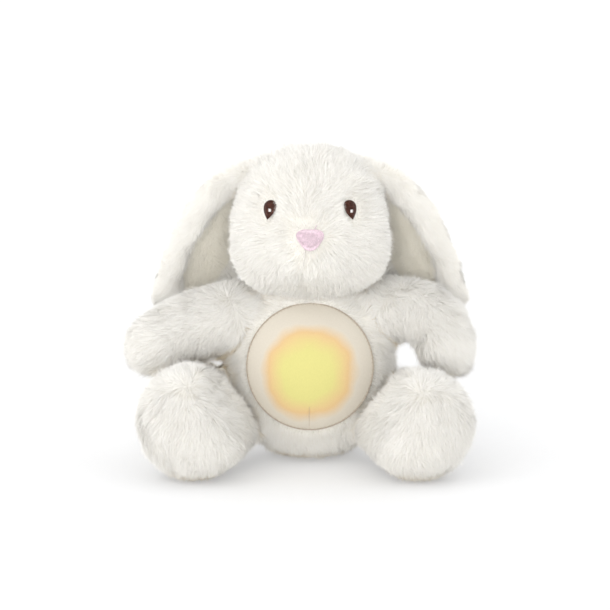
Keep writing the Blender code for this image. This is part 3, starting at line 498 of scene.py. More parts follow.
def board_material(name):
    """Circuit board: green lacquer over paler copper runs, with tinned pads."""
    mat, shader = start_material(name, 0.3, specular=0.5)
    runs = node(mat, "ShaderNodeTexBrick", offset=0.5, Scale=160.0, Mortar_Size=0.035,
                Color1=(0.012, 0.13, 0.045, 1.0), Color2=(0.016, 0.16, 0.055, 1.0),
                Mortar=(0.05, 0.30, 0.11, 1.0))
    turned = node(mat, "ShaderNodeMapping", Rotation=(math.pi / 2.0, 0.0, 0.0))
    wire(mat, place_socket(mat), turned.inputs["Vector"])
    wire(mat, turned.outputs["Vector"], runs.inputs["Vector"])
    pads = node(mat, "ShaderNodeTexVoronoi", Scale=190.0)
    wire(mat, place_socket(mat), pads.inputs["Vector"])
    spots = ramp(mat, pads.outputs["Distance"], [(0.10, (1.0,) * 3), (0.13, (0.0,) * 3)])
    wire(mat, mix(mat, spots, runs.outputs["Color"], (0.62, 0.60, 0.55)), shader.inputs["Base Color"])
    bump_from(mat, shader, runs.outputs["Fac"], 0.3, 0.00005)
    return mat


def sleeve_material(name):
    """Cell sleeve: dark shrink film with a bronze end band and fine scuffs."""
    mat, shader = start_material(name, 0.3, specular=0.6)
    place = node(mat, "ShaderNodeTexCoord")
    parts = node(mat, "ShaderNodeSeparateXYZ")
    wire(mat, place.outputs["Generated"], parts.inputs["Vector"])
    scuffs = noise_socket(mat, 500.0, 3.0, (0.2, 1.0, 1.0))
    bronze, dark = (0.42, 0.20, 0.05), (0.018, 0.018, 0.02)
    band = ramp(mat, parts.outputs["X"], [(0.0, bronze), (0.26, bronze), (0.28, dark), (1.0, dark)])
    worn = ramp(mat, scuffs, [(0.62, (0.0,) * 3), (0.8, (0.3,) * 3)])
    wire(mat, mix(mat, worn, band, (0.3, 0.3, 0.3)), shader.inputs["Base Color"])
    return mat


def window_material(settings):
    """Fine knitted cloth over the lit cap: a yellow core, a peach rim, then grey-beige cloth; the core and
    rim glow, and are also painted into the cloth's own colour as painted light.
    """
    mat, shader = start_material("window_cloth", 0.8, sheen=0.2, specular=0.2)
    where = node(mat, "ShaderNodeTexCoord")
    far = node(mat, "ShaderNodeVectorMath", operation="DISTANCE")
    far.inputs[1].default_value = GLOW_CENTRE
    wire(mat, where.outputs["Object"], far.inputs[0])
    patch = node(mat, "ShaderNodeMath", operation="MULTIPLY_ADD")
    wire(mat, noise_socket(mat, 38.0, 2.0), patch.inputs[0])
    patch.inputs[1].default_value = 0.012
    wire(mat, far.outputs["Value"], patch.inputs[2])
    share = node(mat, "ShaderNodeMapRange", From_Min=0.006, From_Max=0.056)
    wire(mat, patch.outputs["Value"], share.inputs["Value"])
    core, rim, cloth = tuple(settings.core_colour), tuple(settings.rim_colour), tuple(settings.cloth_colour)
    between = tuple((a + b) / 2.0 for a, b in zip(core, rim))
    weave = noise_socket(mat, 1800.0, 2.0, (1.0, 1.0, 0.4))
    # Painted light: the glow's yellow core and peach rim painted into the cloth's own colour, under the real
    # glow given off below
    cloth_and_painted_glow = ramp(mat, share.outputs["Result"],
                  [(0.0, core), (0.36, core), (0.50, between), (0.62, rim), (0.78, cloth), (1.0, cloth)])
    fine = ramp(mat, weave, [(0.3, (0.94,) * 3), (0.7, (1.0,) * 3)])
    wire(mat, mix(mat, 1.0, cloth_and_painted_glow, fine, "MULTIPLY"), shader.inputs["Base Color"])
    light = ramp(mat, share.outputs["Result"],
                 [(0.0, core), (0.30, core), (0.58, rim), (0.80, (0.0,) * 3), (1.0, (0.0,) * 3)])
    wire(mat, light, shader.inputs["Emission Color"])
    shader.inputs["Emission Strength"].default_value = settings.glow
    bump_from(mat, shader, weave, 0.25, 0.0003)
    return mat


def dress(obj, material):
    obj.data.materials.clear()
    obj.data.materials.append(material)


def finish_node(name, material):
    obj = NODES[name]
    if not obj.data.materials:
        obj.data.materials.append(material)
    for slot in obj.material_slots:
        slot.link = "OBJECT"
        slot.material = material


# Padded skins


def swell(obj, pressure, cap):
    """Blows the skin up as a stuffed cloth bag, each point by at most cap."""
    frames = 14
    start = coords(obj.data)
    cloth = obj.modifiers.new("Stuffing", "CLOTH")
    cloth.settings.quality = 4
    cloth.settings.mass = 0.2
    cloth.settings.use_pressure = True
    cloth.settings.uniform_pressure_force = pressure
    cloth.settings.effector_weights.gravity = 0.0
    cloth.settings.tension_stiffness = 12.0
    cloth.settings.compression_stiffness = 12.0
    cloth.settings.bending_stiffness = 0.4
    cloth.collision_settings.use_collision = False
    cloth.point_cache.frame_start = 1
    cloth.point_cache.frame_end = frames
    for step in range(1, frames + 1):
        bpy.context.scene.frame_set(step)
    apply_modifiers(obj)
    bpy.context.scene.frame_set(1)
    moved = coords(obj.data) - start
    far = np.linalg.norm(moved, axis=1, keepdims=True)
    set_coords(obj.data, start + moved * np.minimum(1.0, cap / np.maximum(far, 1e-9)))


def padded_skin(name, parts, voxel, inset, share_at, hold=None, pressure=4.0, cap=0.002, shape=None,
                touching=None):
    """A closed cloth skin that lies under the pile of one stuffed part.

    inset is how deep it lies under the solid, hold where it moves at all, cap how far the stuffing may lift
    it, shape an own change of its form, and touching the neighbours that keep it still.
    """
    obj = solid_copy(parts, name)
    remesh = obj.modifiers.new("Even", "REMESH")
    remesh.mode = "VOXEL"
    remesh.voxel_size = voxel
    remesh.use_smooth_shade = True
    apply_modifiers(obj)
    smoother = obj.modifiers.new("Soften", "SMOOTH")
    smoother.factor = 0.5
    smoother.iterations = 2
    apply_modifiers(obj)
    if shape is not None:
        set_coords(obj.data, shape(coords(obj.data)))
    points = coords(obj.data)
    weight = np.ones(len(points)) if hold is None else hold(points)
    if touching is not None:
        far = np.array([touching.find_nearest(Vector(spot))[3] for spot in points])
        weight = weight * smooth_step(far, 0.0010, 0.0060)
    depth = inset * share_at(points) + cap * 0.5
    before = points - normals(obj.data) * (depth * weight)[:, None]
    set_coords(obj.data, before)
    swell(obj, pressure, cap)
    set_coords(obj.data, before + (coords(obj.data) - before) * weight[:, None])
    finer = obj.modifiers.new("Finer", "SUBSURF")
    finer.levels = 1
    apply_modifiers(obj)
    obj.data.polygons.foreach_set("use_smooth", [True] * len(obj.data.polygons))
    obj.data.update()
    return obj


def openness(points, ways, tree, reach):
    """Clear distance along each normal, and how deep in a fold each point lies, which sets the painted fold
    shade.

    Rays go out along the normal and in a cone round it, as far as reach, to the neighbours and the floor.
    """
    clear = np.full(len(points), reach)
    hollow = np.zeros(len(points))
    side = unit(np.cross(ways, (0.21, 0.13, 0.96)))
    over = np.cross(ways, side)
    lean = math.radians(52.0)
    turns = 8
    for index, (spot, way, a, b) in enumerate(zip(points, ways, side, over)):
        total = 0.0
        for turn in range(turns + 1):
            if turn == turns:
                ray = way
            else:
                angle = 2.0 * math.pi * turn / turns
                around = a * math.cos(angle) + b * math.sin(angle)
                ray = way * math.cos(lean) + around * math.sin(lean)
            hit = tree.ray_cast(Vector(spot), Vector(ray), reach)[3]
            far = reach if hit is None else hit
            if ray[2] < -0.05:
                far = min(far, max(spot[2], 0.0) / -ray[2])
            total += 1.0 - far / reach
            if turn == turns and hit is not None:
                clear[index] = hit
        hollow[index] = total / (turns + 1)
    return clear, hollow


def tone_layer(mesh, rows):
    layer = mesh.attributes.new("pile_tone", "FLOAT_COLOR", "POINT")
    layer.data.foreach_set("color", np.asarray(rows, float).ravel())


# Pile


def scatter_roots(rng, mesh, count, clear, hollow, skip):
    """Roots spread evenly over a skin, with what openness found at each, and the area they grow on."""
    points = coords(mesh)
    ways = normals(mesh)
    mesh.calc_loop_triangles()
    corners = np.empty(len(mesh.loop_triangles) * 3, int)
    mesh.loop_triangles.foreach_get("vertices", corners)
    corners = corners.reshape(-1, 3)
    a, b, c = (points[corners[:, i]] for i in range(3))
    area = np.linalg.norm(np.cross(b - a, c - a), axis=1)
    area[clear[corners].min(axis=1) < TOUCHING] = 0.0
    if skip is not None:
        area[skip((a + b + c) / 3.0)] = 0.0
    chosen = rng.choice(len(area), size=count, p=area / area.sum())
    one, two = rng.random(count), rng.random(count)
    over = one + two > 1.0
    one[over], two[over] = 1.0 - one[over], 1.0 - two[over]
    weights = np.stack([1.0 - one - two, one, two], axis=1)[:, :, None]
    tri = corners[chosen]
    root = (points[tri] * weights).sum(axis=1)
    out = unit((ways[tri] * weights).sum(axis=1))
    free = (clear[tri] * weights[:, :, 0]).sum(axis=1)
    fold = (hollow[tri] * weights[:, :, 0]).sum(axis=1)
    return root, out, free, fold, area.sum() / 2.0


def brush(rng, comb, root, out, seed):
    """The way each fibre lies along the skin, and how unsure it is where the comb gives no clear way."""
    count = len(root)
    backward = BRUSHED_BACK * (1.0 - smooth_step(np.abs(out[:, 1]), 0.15, 0.55))
    lay = comb(root, out) + BACK * backward[:, None]
    lay = lay - out * (lay * out).sum(axis=1, keepdims=True)
    unsure = 1.0 - smooth_step(np.linalg.norm(lay, axis=1), 0.15, 0.55)
    lay = unit(lay)
    cross = np.cross(out, lay)
    turn = 0.34 * soft_noise(root, 0.026, seed + 1) + 0.16 * soft_noise(root, 0.009, seed + 2)
    turn = turn + rng.normal(0.0, 0.20, count) * (1.0 + 1.2 * unsure)
    return lay * np.cos(turn)[:, None] + cross * np.sin(turn)[:, None], unsure


def nearest_clump(root, clumps):
    """For each fibre, the nearest of the first ones, which lead the clumps."""
    finder = KDTree(clumps)
    for index in range(clumps):
        finder.insert(root[index], index)
    finder.balance()
    return np.fromiter((finder.find(spot)[1] for spot in root), int, len(root))


def grow_pile(name, skin, count, length, comb, share_at, clear, hollow, seed, skip=None, stand=0.36,
              catch=0.3):
    """Fibres as thin tapered blades, rooted on the skin, combed, bent and drawn into clumps.

    stand is how far a fibre rises for its length, and catch how far its shading turns to the room's light.
    """
    settings = bpy.context.scene.rabbit_pile
    count = int(count * settings.density * (1.0))
    rng = np.random.default_rng(seed)
    root, out, free, fold, ground = scatter_roots(rng, skin.data, count, clear, hollow, skip)
    lay, unsure = brush(rng, comb, root, out, seed)
    share = share_at(root)
    room = np.clip(free / (length * 0.75), 0.2, 1.0)
    size = length * share * rng.uniform(0.78, 1.12, count) * (0.45 + 0.55 * room)
    rise = stand * (1.0 + 0.12 * soft_noise(root, 0.013, seed + 3)) * rng.uniform(0.85, 1.15, count) * room
    lean_by = FIBRE_LEAN * rng.uniform(0.85, 1.15, count)
    loose = rng.random(count) < LOOSE_SHARE
    rise = np.where(loose, rise * 1.7, rise)
    lean_by = np.where(loose, lean_by * 0.75, lean_by)
    size, rise, lean_by = size[:, None], rise[:, None], lean_by[:, None]
    root = root - lay * size * (0.02 + 0.26 * unsure)[:, None]
    middle = root + size * (out * rise * 0.60 + lay * lean_by * 0.42)
    tip = root + size * (out * rise + lay * lean_by)

    clumps = min(max(8, int(ground / settings.clump**2)), count)
    nearest = nearest_clump(root, clumps)
    pull = np.where(loose, 0.0, rng.uniform(0.05, 0.42, count))[:, None]
    lift = rng.normal(0.0, 0.028, clumps)[nearest][:, None] * size
    middle = middle + (middle[nearest] - middle) * pull * 0.25 + out * lift * 0.5
    tip = tip + (tip[nearest] - tip) * pull + out * lift
    root = root - out * ROOT_DEPTH
    for spots in (root, middle, tip):
        spots[:, 2] = np.maximum(spots[:, 2], LOWEST_FIBRE)

    spin = rng.normal(0.0, 0.35, count)[:, None]
    width = settings.width * rng.uniform(0.75, 1.25, count) * np.clip(share, 0.6, 1.0) * 0.5
    width = (width * np.where(loose, 0.7, 1.0))[:, None]

    def flank(way):
        side = unit(np.cross(way, out))
        face = np.cross(side, way)
        return side * np.cos(spin) + face * np.sin(spin)

    low_side, high_side = flank(unit(middle - root)), flank(unit(tip - middle))
    low_half, high_half = low_side * width, high_side * width * 0.82
    rows = (root - low_half, root + low_half, middle - high_half, middle + high_half, tip)
    rows = np.stack(rows, axis=1)
    leaning = out * 0.8 + low_side * rng.normal(0.0, 0.5, (count, 1)) + lay * rng.normal(0.0, 0.3, (count, 1))
    leaning = unit(leaning + ROOM_LIGHT * (catch * smooth_step(out @ ROOM_LIGHT, -0.3, 0.4))[:, None])
    tone = np.zeros((count, 5, 4))
    tone[:, :, 0] = np.array([0.0, 0.0, 0.55, 0.55, 1.0])
    # Green: painted shade, by how deep in a fold the root lies
    tone[:, :, 1] = fold_shade(fold)[:, None]
    tone[:, :, 2] = rng.random(count)[:, None]
    tone[:, :, 3] = 1.0
    pieces = []
    batches = max(1, math.ceil(count / PIECE_FIBRES))
    for batch in range(batches):
        own = slice(batch * count // batches, (batch + 1) * count // batches)
        label = name if batches == 1 else "%s_%d" % (name, batch + 1)
        pieces.append(fibre_mesh(label, rows[own], tone[own], leaning[own]))
    return pieces


def fibre_mesh(name, rows, tone, leaning):
    """One piece of pile: each fibre is a four-sided face with a three-sided tip."""
    count = len(rows)
    made = bpy.data.meshes.new(name)
    made.vertices.add(count * 5)
    made.vertices.foreach_set("co", rows.reshape(-1))
    pattern = np.array([0, 1, 3, 2, 2, 3, 4])
    loops = (np.arange(count)[:, None] * 5 + pattern[None, :]).ravel()
    made.loops.add(len(loops))
    made.loops.foreach_set("vertex_index", loops)
    starts = (np.arange(count)[:, None] * 7 + np.array([0, 4])[None, :]).ravel()
    made.polygons.add(len(starts))
    made.polygons.foreach_set("loop_start", starts)
    made.polygons.foreach_set("use_smooth", np.ones(len(starts), bool))
    made.update(calc_edges=True)
    tone_layer(made, tone)
    column, row = np.arange(count) % STRAND_CELLS, np.arange(count) // STRAND_CELLS
    left, right, tip = (0.25, 0.5), (0.75, 0.5), (0.5, 0.9)
    inner = np.array([(0.15, 0.1), (0.85, 0.1), right, left, left, right, tip])
    flat = np.stack([column, row], axis=1)[:, None, :] + inner[None, :, :]
    uv = made.uv_layers.new(name="OFBake")
    uv.data.foreach_set("uv", (flat / STRAND_CELLS).reshape(-1))
    made.normals_split_custom_set_from_vertices(np.repeat(leaning, 5, axis=0))
    return add_object(name, made)


def fold_shade(fold):
    """How far the pile takes the painted fold shade's colour."""
    return smooth_step(fold, 0.16, 0.70) * FOLD_SHADE_STRENGTH


def even_share(points):
    return np.ones(len(points))


def cover(skin, tone, body, replaced):
    """Gives a padded skin its stored tones, its backing cloth and its body, and hides the solid that it
    stands for.
    """
    tone_layer(skin.data, tone)
    dress(skin, shared_material("pile_ground"))
    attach(skin, body)
    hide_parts(replaced)


def plush_part(part, body, count, comb, seed, near, voxel=0.004, inset=0.0026, length=None,
               share_at=even_share, hold=None, skip=None, cap=0.002, stand=0.36, extra=None,
               shape=None, reach=0.032, catch=0.3):
    """One stuffed part: its padded skin, and count fibres of pile on it.

    near names the neighbours that the pile makes room for, and extra a solid that the skin takes in.
    share_at, hold, skip and shape are functions of place: the pile's length, where the skin moves, where
    nothing grows and the skin's own form.
    """
    length = bpy.context.scene.rabbit_pile.length if length is None else length
    parts = (part,) if extra is None else (part, extra)
    skin = padded_skin(part + "_skin", parts, voxel, inset, share_at, hold, cap=cap, shape=shape,
                       touching=tree_of(*near))
    points = coords(skin.data)
    clear, hollow = openness(points, normals(skin.data), tree_of(*near), reach)
    tone = np.zeros((len(points), 4))
    tone[:, 0] = 1.0 - smooth_step(share_at(points), 0.30, 0.75)
    # Green: painted shade in the folds, weaker on the backing
    tone[:, 1] = fold_shade(hollow) * GROUND_FOLD_SHADE
    tone[:, 3] = 1.0
    cover(skin, tone, body, part)
    pile = grow_pile(part + "_pile", skin, count, length, comb, share_at, clear, hollow, seed, skip, stand,
                     catch)
    settle(pile, "pile", body)
    return skin


def settle(pieces, material, body):
    """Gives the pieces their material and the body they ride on."""
    for piece in pieces:
        dress(piece, shared_material(material))
        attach(piece, body)


def shared_material(name):
    """The material of that name, made when it is first asked for."""
    found = bpy.data.materials.get("rabbit_" + name)
    if found:
        return found
    pile = bpy.context.scene.rabbit_pile
    tip, root = tuple(pile.tip_colour), tuple(pile.root_colour)
    lining = tuple(pile.lining_colour)
    makers = {
        "pile": lambda key: pile_material(key, pile, tip, root),
        "pile_ground": lambda key: ground_material(key, pile, root),
        "lining": lambda key: pile_material(key, pile, lining, scaled(lining, 0.93)),
        "lining_ground": lambda key: ground_material(key, pile, scaled(lining, 0.9)),
        "white_plastic": lambda key: plastic_material(key, (0.80, 0.80, 0.78)),
        "milky_plastic": lambda key: plastic_material(key, (0.86, 0.84, 0.78), 0.55, 0.2),
        "black_plastic": lambda key: plastic_material(key, (0.02, 0.02, 0.022), 0.35),
        "red_sleeve": lambda key: plastic_material(key, (0.55, 0.03, 0.025), 0.45, 0.3),
        "metal": lambda key: metal_material(key, (0.72, 0.72, 0.70)),
        "tape": lambda key: tape_material(key, (0.80, 0.79, 0.76), 0.0011),
    }
    return makers[name]("rabbit_" + name)


# Ways that the pile is brushed


def foot_comb(points, out):
    """Down the sole and the sides, and back over the top of the foot."""
    top = smooth_step(out[:, 2], 0.45, 0.9)[:, None]
    return (DOWN + out * (0.25, 0.0, 0.0)) * (1.0 - top) + BACK * top


def foot_shape(side, middle, shift):
    """Draws the inner upper side of a leg outward, so that the foot is narrower at its top.

    At each height the foot's inner edge comes to the wanted distance from the rabbit's middle plane, less
    shift, and what lies farther out than the foot's own middle stays.
    """
    heights = (0.0, 0.022, 0.037, 0.052, 0.065, 0.078, 0.100)
    inner = (0.034, 0.0365, 0.041, 0.050, 0.062, 0.072, 0.085)
    step, steps = 0.004, 25

    def move(points):
        outward = points[:, 0] * side
        rows = np.clip(points[:, 2] / step, 0, steps - 1).astype(int)
        front = points[:, 1] < -0.030
        least = np.array([outward[front & (rows == row)].min(initial=middle) for row in range(steps)])
        start = np.interp(points[:, 2], (np.arange(steps) + 0.5) * step, least)
        wanted = np.interp(points[:, 2], heights, inner) - shift
        share = np.clip((middle - wanted) / np.maximum(middle - start, 0.001), 0.3, 1.0)
        part = smooth_step(-points[:, 1], 0.018, 0.040)
        share = 1.0 - (1.0 - share) * part
        moved = points.copy()
        inside = outward < middle
        moved[inside, 0] = side * (middle - (middle - outward[inside]) * share[inside])
        return moved

    return move


def arm_comb(start, end, parting):
    """Along the arm and over its end; before the parting, back over the shoulder."""
    start, end = np.asarray(start, float), np.asarray(end, float)
    pull = np.array([0.0, 0.35, -0.35])
    way = unit(end - start)

    def comb(points, out):
        share = ((points - start) @ way) / np.linalg.norm(end - start)
        away = unit(points - (start + (end - start) * 0.8))
        ahead = 2.0 * smooth_step(share, parting - 0.08, parting + 0.08) - 1.0
        flow = way * ahead[:, None] + pull
        return flow + away * (0.3 * smooth_step(share, 0.5, 1.1))[:, None]

    return comb


def ear_middle(points, sign):
    """The nearest place on the ear's middle line, and how far down the ear it is."""
    top, bottom = np.array([sign * 0.050, 0.000, 0.215]), np.array([sign * 0.098, 0.032, 0.110])
    bend = np.array([sign * 0.008, 0.0, 0.0])
    way = bottom - top
    share = np.clip(((points - top) @ way) / (way @ way), 0.0, 1.0)
    return top + way * share[:, None] + bend * (4.0 * share * (1.0 - share))[:, None], share


def ear_place(points, sign):
    """How far down an ear each point is, the way from the ear's middle line, and inward across it."""
    middle, share = ear_middle(points, sign)
    across = unit(points - middle)
    inward = (points - middle) @ unit(np.array([-sign * 0.83, 0.55, 0.0]))
    return share, across, inward


def ear_comb(sign):
    """Backward at the ear's root, then down the ear, and out over both its edges."""
    down = unit(np.array([sign * 0.45, 0.30, -0.80]))

    def comb(points, out):
        share, across, inward = ear_place(points, sign)
        ahead = smooth_step(share, 0.02, 0.14)
        edge = smooth_step(inward, 0.008, 0.024)
        root = np.array([0.0, 0.8, 0.1]) * (1.0 - ahead)[:, None]
        length = down * (0.9 * ahead * (1.0 - 0.6 * edge))[:, None]
        return root + length + across * (0.6, 0.15, 0.6) * (1.0 + edge)[:, None]

    return comb


def ear_fringe(sign):
    """Longer pile along the edge that lies against the head."""
    def share_at(points):
        share, _, inward = ear_place(points, sign)
        return 0.85 + 0.80 * smooth_step(inward, 0.014, 0.032) * smooth_step(share, 0.15, 0.4)

    return share_at


def ear_cup(lining, sign):
    """Sinks the lined side of the ear between its rounded rims, rolls the outer rim forward and tucks the
    inner edge behind the cheek."""
    tree = tree_of(lining)
    front = unit(np.array([-sign * 0.59, -0.65, -0.48]))

    def move(points):
        moved = points.copy()
        for index, spot in enumerate(points):
            far = tree.find_nearest(Vector(spot))[3]
            moved[index] -= front * (EAR_SINK * (1.0 - float(smooth_step(far, 0.0012, 0.0070))))
        share, _, inward = ear_place(points, sign)
        facing = smooth_step((points - ear_middle(points, sign)[0]) @ front, 0.0, 0.004)
        roll = smooth_step(-inward, -0.002, 0.021) * (1.0 - 0.6 * smooth_step(-inward, 0.030, 0.044))
        ends = smooth_step(share, 0.06, 0.22) * (1.0 - smooth_step(share, 0.85, 1.0))
        moved += front * (EAR_ROLL * facing * roll * ends)[:, None]
        lower = smooth_step(share, 0.35, 0.60) * (1.0 - smooth_step(share, 0.92, 1.0))
        tuck = smooth_step(inward, 0.010, 0.030) * lower
        moved += np.array([-sign, 0.15, 0.0]) * (EAR_TUCK * tuck)[:, None]
        return moved

    return move


def window_distance(points):
    """Distance from the window's middle along its plane, and how far in front of that plane."""
    away = points - WINDOW_CENTRE
    forward = away @ WINDOW_OUT
    flat = away - forward[:, None] * WINDOW_OUT
    return np.linalg.norm(flat, axis=1), forward


def flap_distance(points):
    """Distance outside the flap's outline on the back; it is below zero inside the outline."""
    across = np.abs(points[:, 0]) - FLAP_HALF_WIDTH
    upward = np.maximum(points[:, 2] - FLAP_HIGH, FLAP_LOW - points[:, 2])
    inside = np.maximum(across, upward)
    outside = np.hypot(np.maximum(across, 0.0), np.maximum(upward, 0.0))
    return np.where(points[:, 1] > 0.0, np.where(inside > 0.0, outside, inside), 1.0)


def arm_share(points):
    """Longer pile under the arm, where it closes the armpit."""
    return 1.0 + 0.55 * (1.0 - smooth_step(points[:, 2], 0.080, 0.100))


def torso_share(points):
    """Shorter pile round the window, and almost none under the flap."""
    radial, forward = window_distance(points)
    near_window = 0.42 + 0.58 * smooth_step(radial, WINDOW_RADIUS, WINDOW_RADIUS + 0.013)
    rim = np.where(forward > -0.02, near_window, 1.0)
    flap = 0.04 + 0.96 * smooth_step(flap_distance(points), -0.0005, 0.006)
    return np.minimum(rim, flap)


def torso_hold(points):
    """1 on the torso's outside, 0 on the walls of its pockets."""
    deep = np.where(points[:, 1] < 0.0, TORSO_HALF[1], TORSO_BACK)
    even = np.ones(len(points))
    half = np.stack([even * TORSO_HALF[0], deep, even * TORSO_HALF[2]], axis=1)
    return smooth_step(np.linalg.norm((points - TORSO_CENTRE) / half, axis=1), 0.90, 0.96)


def torso_skip(points):
    """The window's place, the flap's place and the walls of the pockets."""
    radial, forward = window_distance(points)
    covered = (radial < WINDOW_RADIUS + 0.0004) & (forward > -0.02)
    flank = (np.abs(points[:, 0]) > 0.040) & (radial > WINDOW_RADIUS)
    return covered | (flap_distance(points) < 0.0008) | ((torso_hold(points) < 0.5) & ~flank)


def torso_comb(points, out):
    """Down, and in front also away from the window."""
    away = points - WINDOW_CENTRE
    front = smooth_step(-points[:, 1], -0.01, 0.03)[:, None]
    return DOWN * (1.0 - 0.55 * front) + unit(away) * 0.8 * front


def face_share(points):
    """Shorter pile round the eyes and the nose, and along the crease below the nose."""
    share = np.ones(len(points))
    for eye in EYES:
        far = np.linalg.norm((points - eye) * (1.0, 0.5, 0.8), axis=1)
        share = np.minimum(share, 0.18 + 0.82 * smooth_step(far, 0.0055, 0.0135))
    far = np.linalg.norm((points - NOSE_TIP) * (0.85, 0.5, 1.0), axis=1)
    share = np.minimum(share, 0.28 + 0.72 * smooth_step(far, 0.0075, 0.0165))
    crease = np.exp(-(((points[:, 0] + 0.0052) / 0.0034) ** 2)) * smooth_step(-points[:, 1], 0.045, 0.060)
    below_nose = smooth_step(0.176 - points[:, 2], 0.0, 0.006)
    return share * (1.0 - 0.5 * crease * below_nose)


def face_skip(points):
    """The places of the eyes and of the nose."""
    hidden = np.zeros(len(points), bool)
    for eye, lean in zip(EYES, (-1.0, 1.0)):
        away = points - eye
        across = away[:, 0] + lean * 0.22 * away[:, 2]
        hidden |= ((across / 0.0055) ** 2 + (away[:, 2] / 0.0080) ** 2 < 1.0) & (away[:, 1] < 0.02)
    away = points - NOSE_TIP
    hidden |= ((away[:, 0] / 0.0094) ** 2 + (away[:, 2] / 0.0074) ** 2 < 1.0) & (away[:, 1] < 0.02)
    return hidden


def face_comb(points, out):
    """Away from the nose, and backward over the top of the head."""
    away = unit(points - (NOSE_TIP + np.array([0.0, -0.004, 0.004]))) + np.array([0.0, 0.25, -0.28])
    top = smooth_step(points[:, 2], 0.205, 0.238)[:, None]
    backward = np.array([0.0, 0.8, 0.3]) + np.sign(points[:, :1]) * np.array([0.25, 0.0, 0.0])
    return away * (1.0 - top) + backward * top


def tail_comb(points, out):
    """Down, and a little outward."""
    return DOWN + out * (0.5, 0.0, 0.0)


def flap_comb(points, out):
    """Down, and a little away from the flap's seam."""
    return unit(points - np.array([0.0, 0.03, 0.16])) + DOWN


# Operators


class RABBIT_OT_torso(bpy.types.Operator):
    """Pad the torso and cover it with pile"""

    bl_idname = "rabbit.torso"
    bl_label = "Torso"

    def execute(self, context):
        near = ("head", "left_arm", "right_arm", "left_leg_skin", "right_leg_skin", "tail")
        plush_part("torso", ROOT_BODY, count=100000, comb=torso_comb, seed=11, near=near,
                   share_at=torso_share, hold=torso_hold, skip=torso_skip, catch=0.8)
        return {"FINISHED"}


class RABBIT_OT_head(bpy.types.Operator):
    """Pad the head and cover it with pile"""

    bl_idname = "rabbit.head"
    bl_label = "Head"

    def execute(self, context):
        near = ("torso", "left_arm", "right_arm", "left_ear", "right_ear")
        plush_part("head", ROOT_BODY, count=120000, comb=face_comb, seed=23, near=near,
                   share_at=face_share, skip=face_skip)
        return {"FINISHED"}


class RABBIT_OT_arms(bpy.types.Operator):
    """Pad both arms and cover them with pile"""

    bl_idname = "rabbit.arms"
    bl_label = "Arms"

    def execute(self, context):
        left_comb = arm_comb((-0.034, -0.004, 0.109), (-0.129, -0.053, 0.081), 0.26)
        right_comb = arm_comb((0.050, -0.002, 0.118), (0.098, -0.055, 0.082), 0.22)
        for side, count, comb, seed in (("left", 70000, left_comb, 31), ("right", 62000, right_comb, 37)):
            near = ("torso", "head", side + "_ear", side + "_leg")
            plush_part(side + "_arm", side + "_arm_body", count, comb, seed, near, share_at=arm_share)
        return {"FINISHED"}


class RABBIT_OT_legs(bpy.types.Operator):
    """Pad both legs and cover them with pile"""

    bl_idname = "rabbit.legs"
    bl_label = "Legs"

    def execute(self, context):
        left_shape = foot_shape(-1.0, 0.100, 0.0)
        right_shape = foot_shape(1.0, 0.0945, 0.005)
        for side, count, seed, shape in (("left", 100000, 41, left_shape), ("right", 92000, 43, right_shape)):
            near = ("torso", side + "_arm", "belly_window")
            plush_part(side + "_leg", side + "_leg_body", count, foot_comb, seed, near, shape=shape)
        return {"FINISHED"}


class RABBIT_OT_ears(bpy.types.Operator):
    """Pad both ears and their linings and cover them with pile"""

    bl_idname = "rabbit.ears"
    bl_label = "Ears"

    def execute(self, context):
        settings = context.scene.rabbit_pile
        for side, sign, seed in (("left", -1.0, 53), ("right", 1.0, 59)):
            body = side + "_ear_body"
            near = ("head", "torso", side + "_arm")
            comb = ear_comb(sign)
            lining = tree_of(side + "_ear_lining")

            def in_lining(middles):
                return np.array([lining.find_nearest(Vector(spot))[3] < 0.0042 for spot in middles])

            def off_lining(middles):
                return ~in_lining(middles)

            skin = plush_part(side + "_ear", body, 84000, comb, seed, near, voxel=0.003, inset=0.0022,
                              share_at=ear_fringe(sign), cap=0.0012, skip=in_lining,
                              extra=side + "_ear_lining", shape=ear_cup(side + "_ear_lining", sign),
                              reach=0.018, catch=1.0)
            clear, hollow = openness(coords(skin.data), normals(skin.data), tree_of(*near), 0.026)
            # The lining's nap takes a weaker painted fold shade
            nap = grow_pile(side + "_lining_nap", skin, 30000, settings.length * 0.5, comb, even_share, clear,
                            hollow * 0.45, seed + 5, off_lining, stand=0.28, catch=1.6)
            settle(nap, "lining", body)
            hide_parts(side + "_ear_lining")
        return {"FINISHED"}


class RABBIT_OT_tail(bpy.types.Operator):
    """Pad the tail and cover it with pile"""

    bl_idname = "rabbit.tail"
    bl_label = "Tail"

    def execute(self, context):
        plush_part("tail", ROOT_BODY, count=18000, comb=tail_comb, seed=61, near=("torso",), voxel=0.003,
                   inset=0.0045, length=0.0085, stand=0.55)
        return {"FINISHED"}


def dome_point(radial, angle):
    """A point on the window's cloth, radial from 0 at the middle to 1 at the seam."""
    sphere = (WINDOW_RADIUS**2 + WINDOW_CROWN**2) / (2.0 * WINDOW_CROWN)
    flat = radial * WINDOW_RADIUS
    rise = math.sqrt(sphere**2 - flat**2) - (sphere - WINDOW_CROWN)
    side = np.array([1.0, 0.0, 0.0])
    edge = float(smooth_step(radial, 0.80, 1.0))
    gather = math.sin(46.0 * angle) * 0.5 + math.sin(29.0 * angle + 1.3) * 0.5
    rise += 0.00035 * edge * gather * (1.0 - 0.5 * radial)
    across = flat * math.cos(angle)
    if math.sin(angle) < 0.0 and radial > 0.55:
        deep = float(smooth_step(radial, 0.58, 0.80))
        rise -= 0.0011 * deep * math.exp(-((across + 0.0006) / 0.0007) ** 2)
        rise += 0.0007 * deep * math.exp(-((across - 0.0022) / 0.0016) ** 2)
    return WINDOW_CENTRE + WINDOW_OUT * rise + side * across + WINDOW_UP * (flat * math.sin(angle))


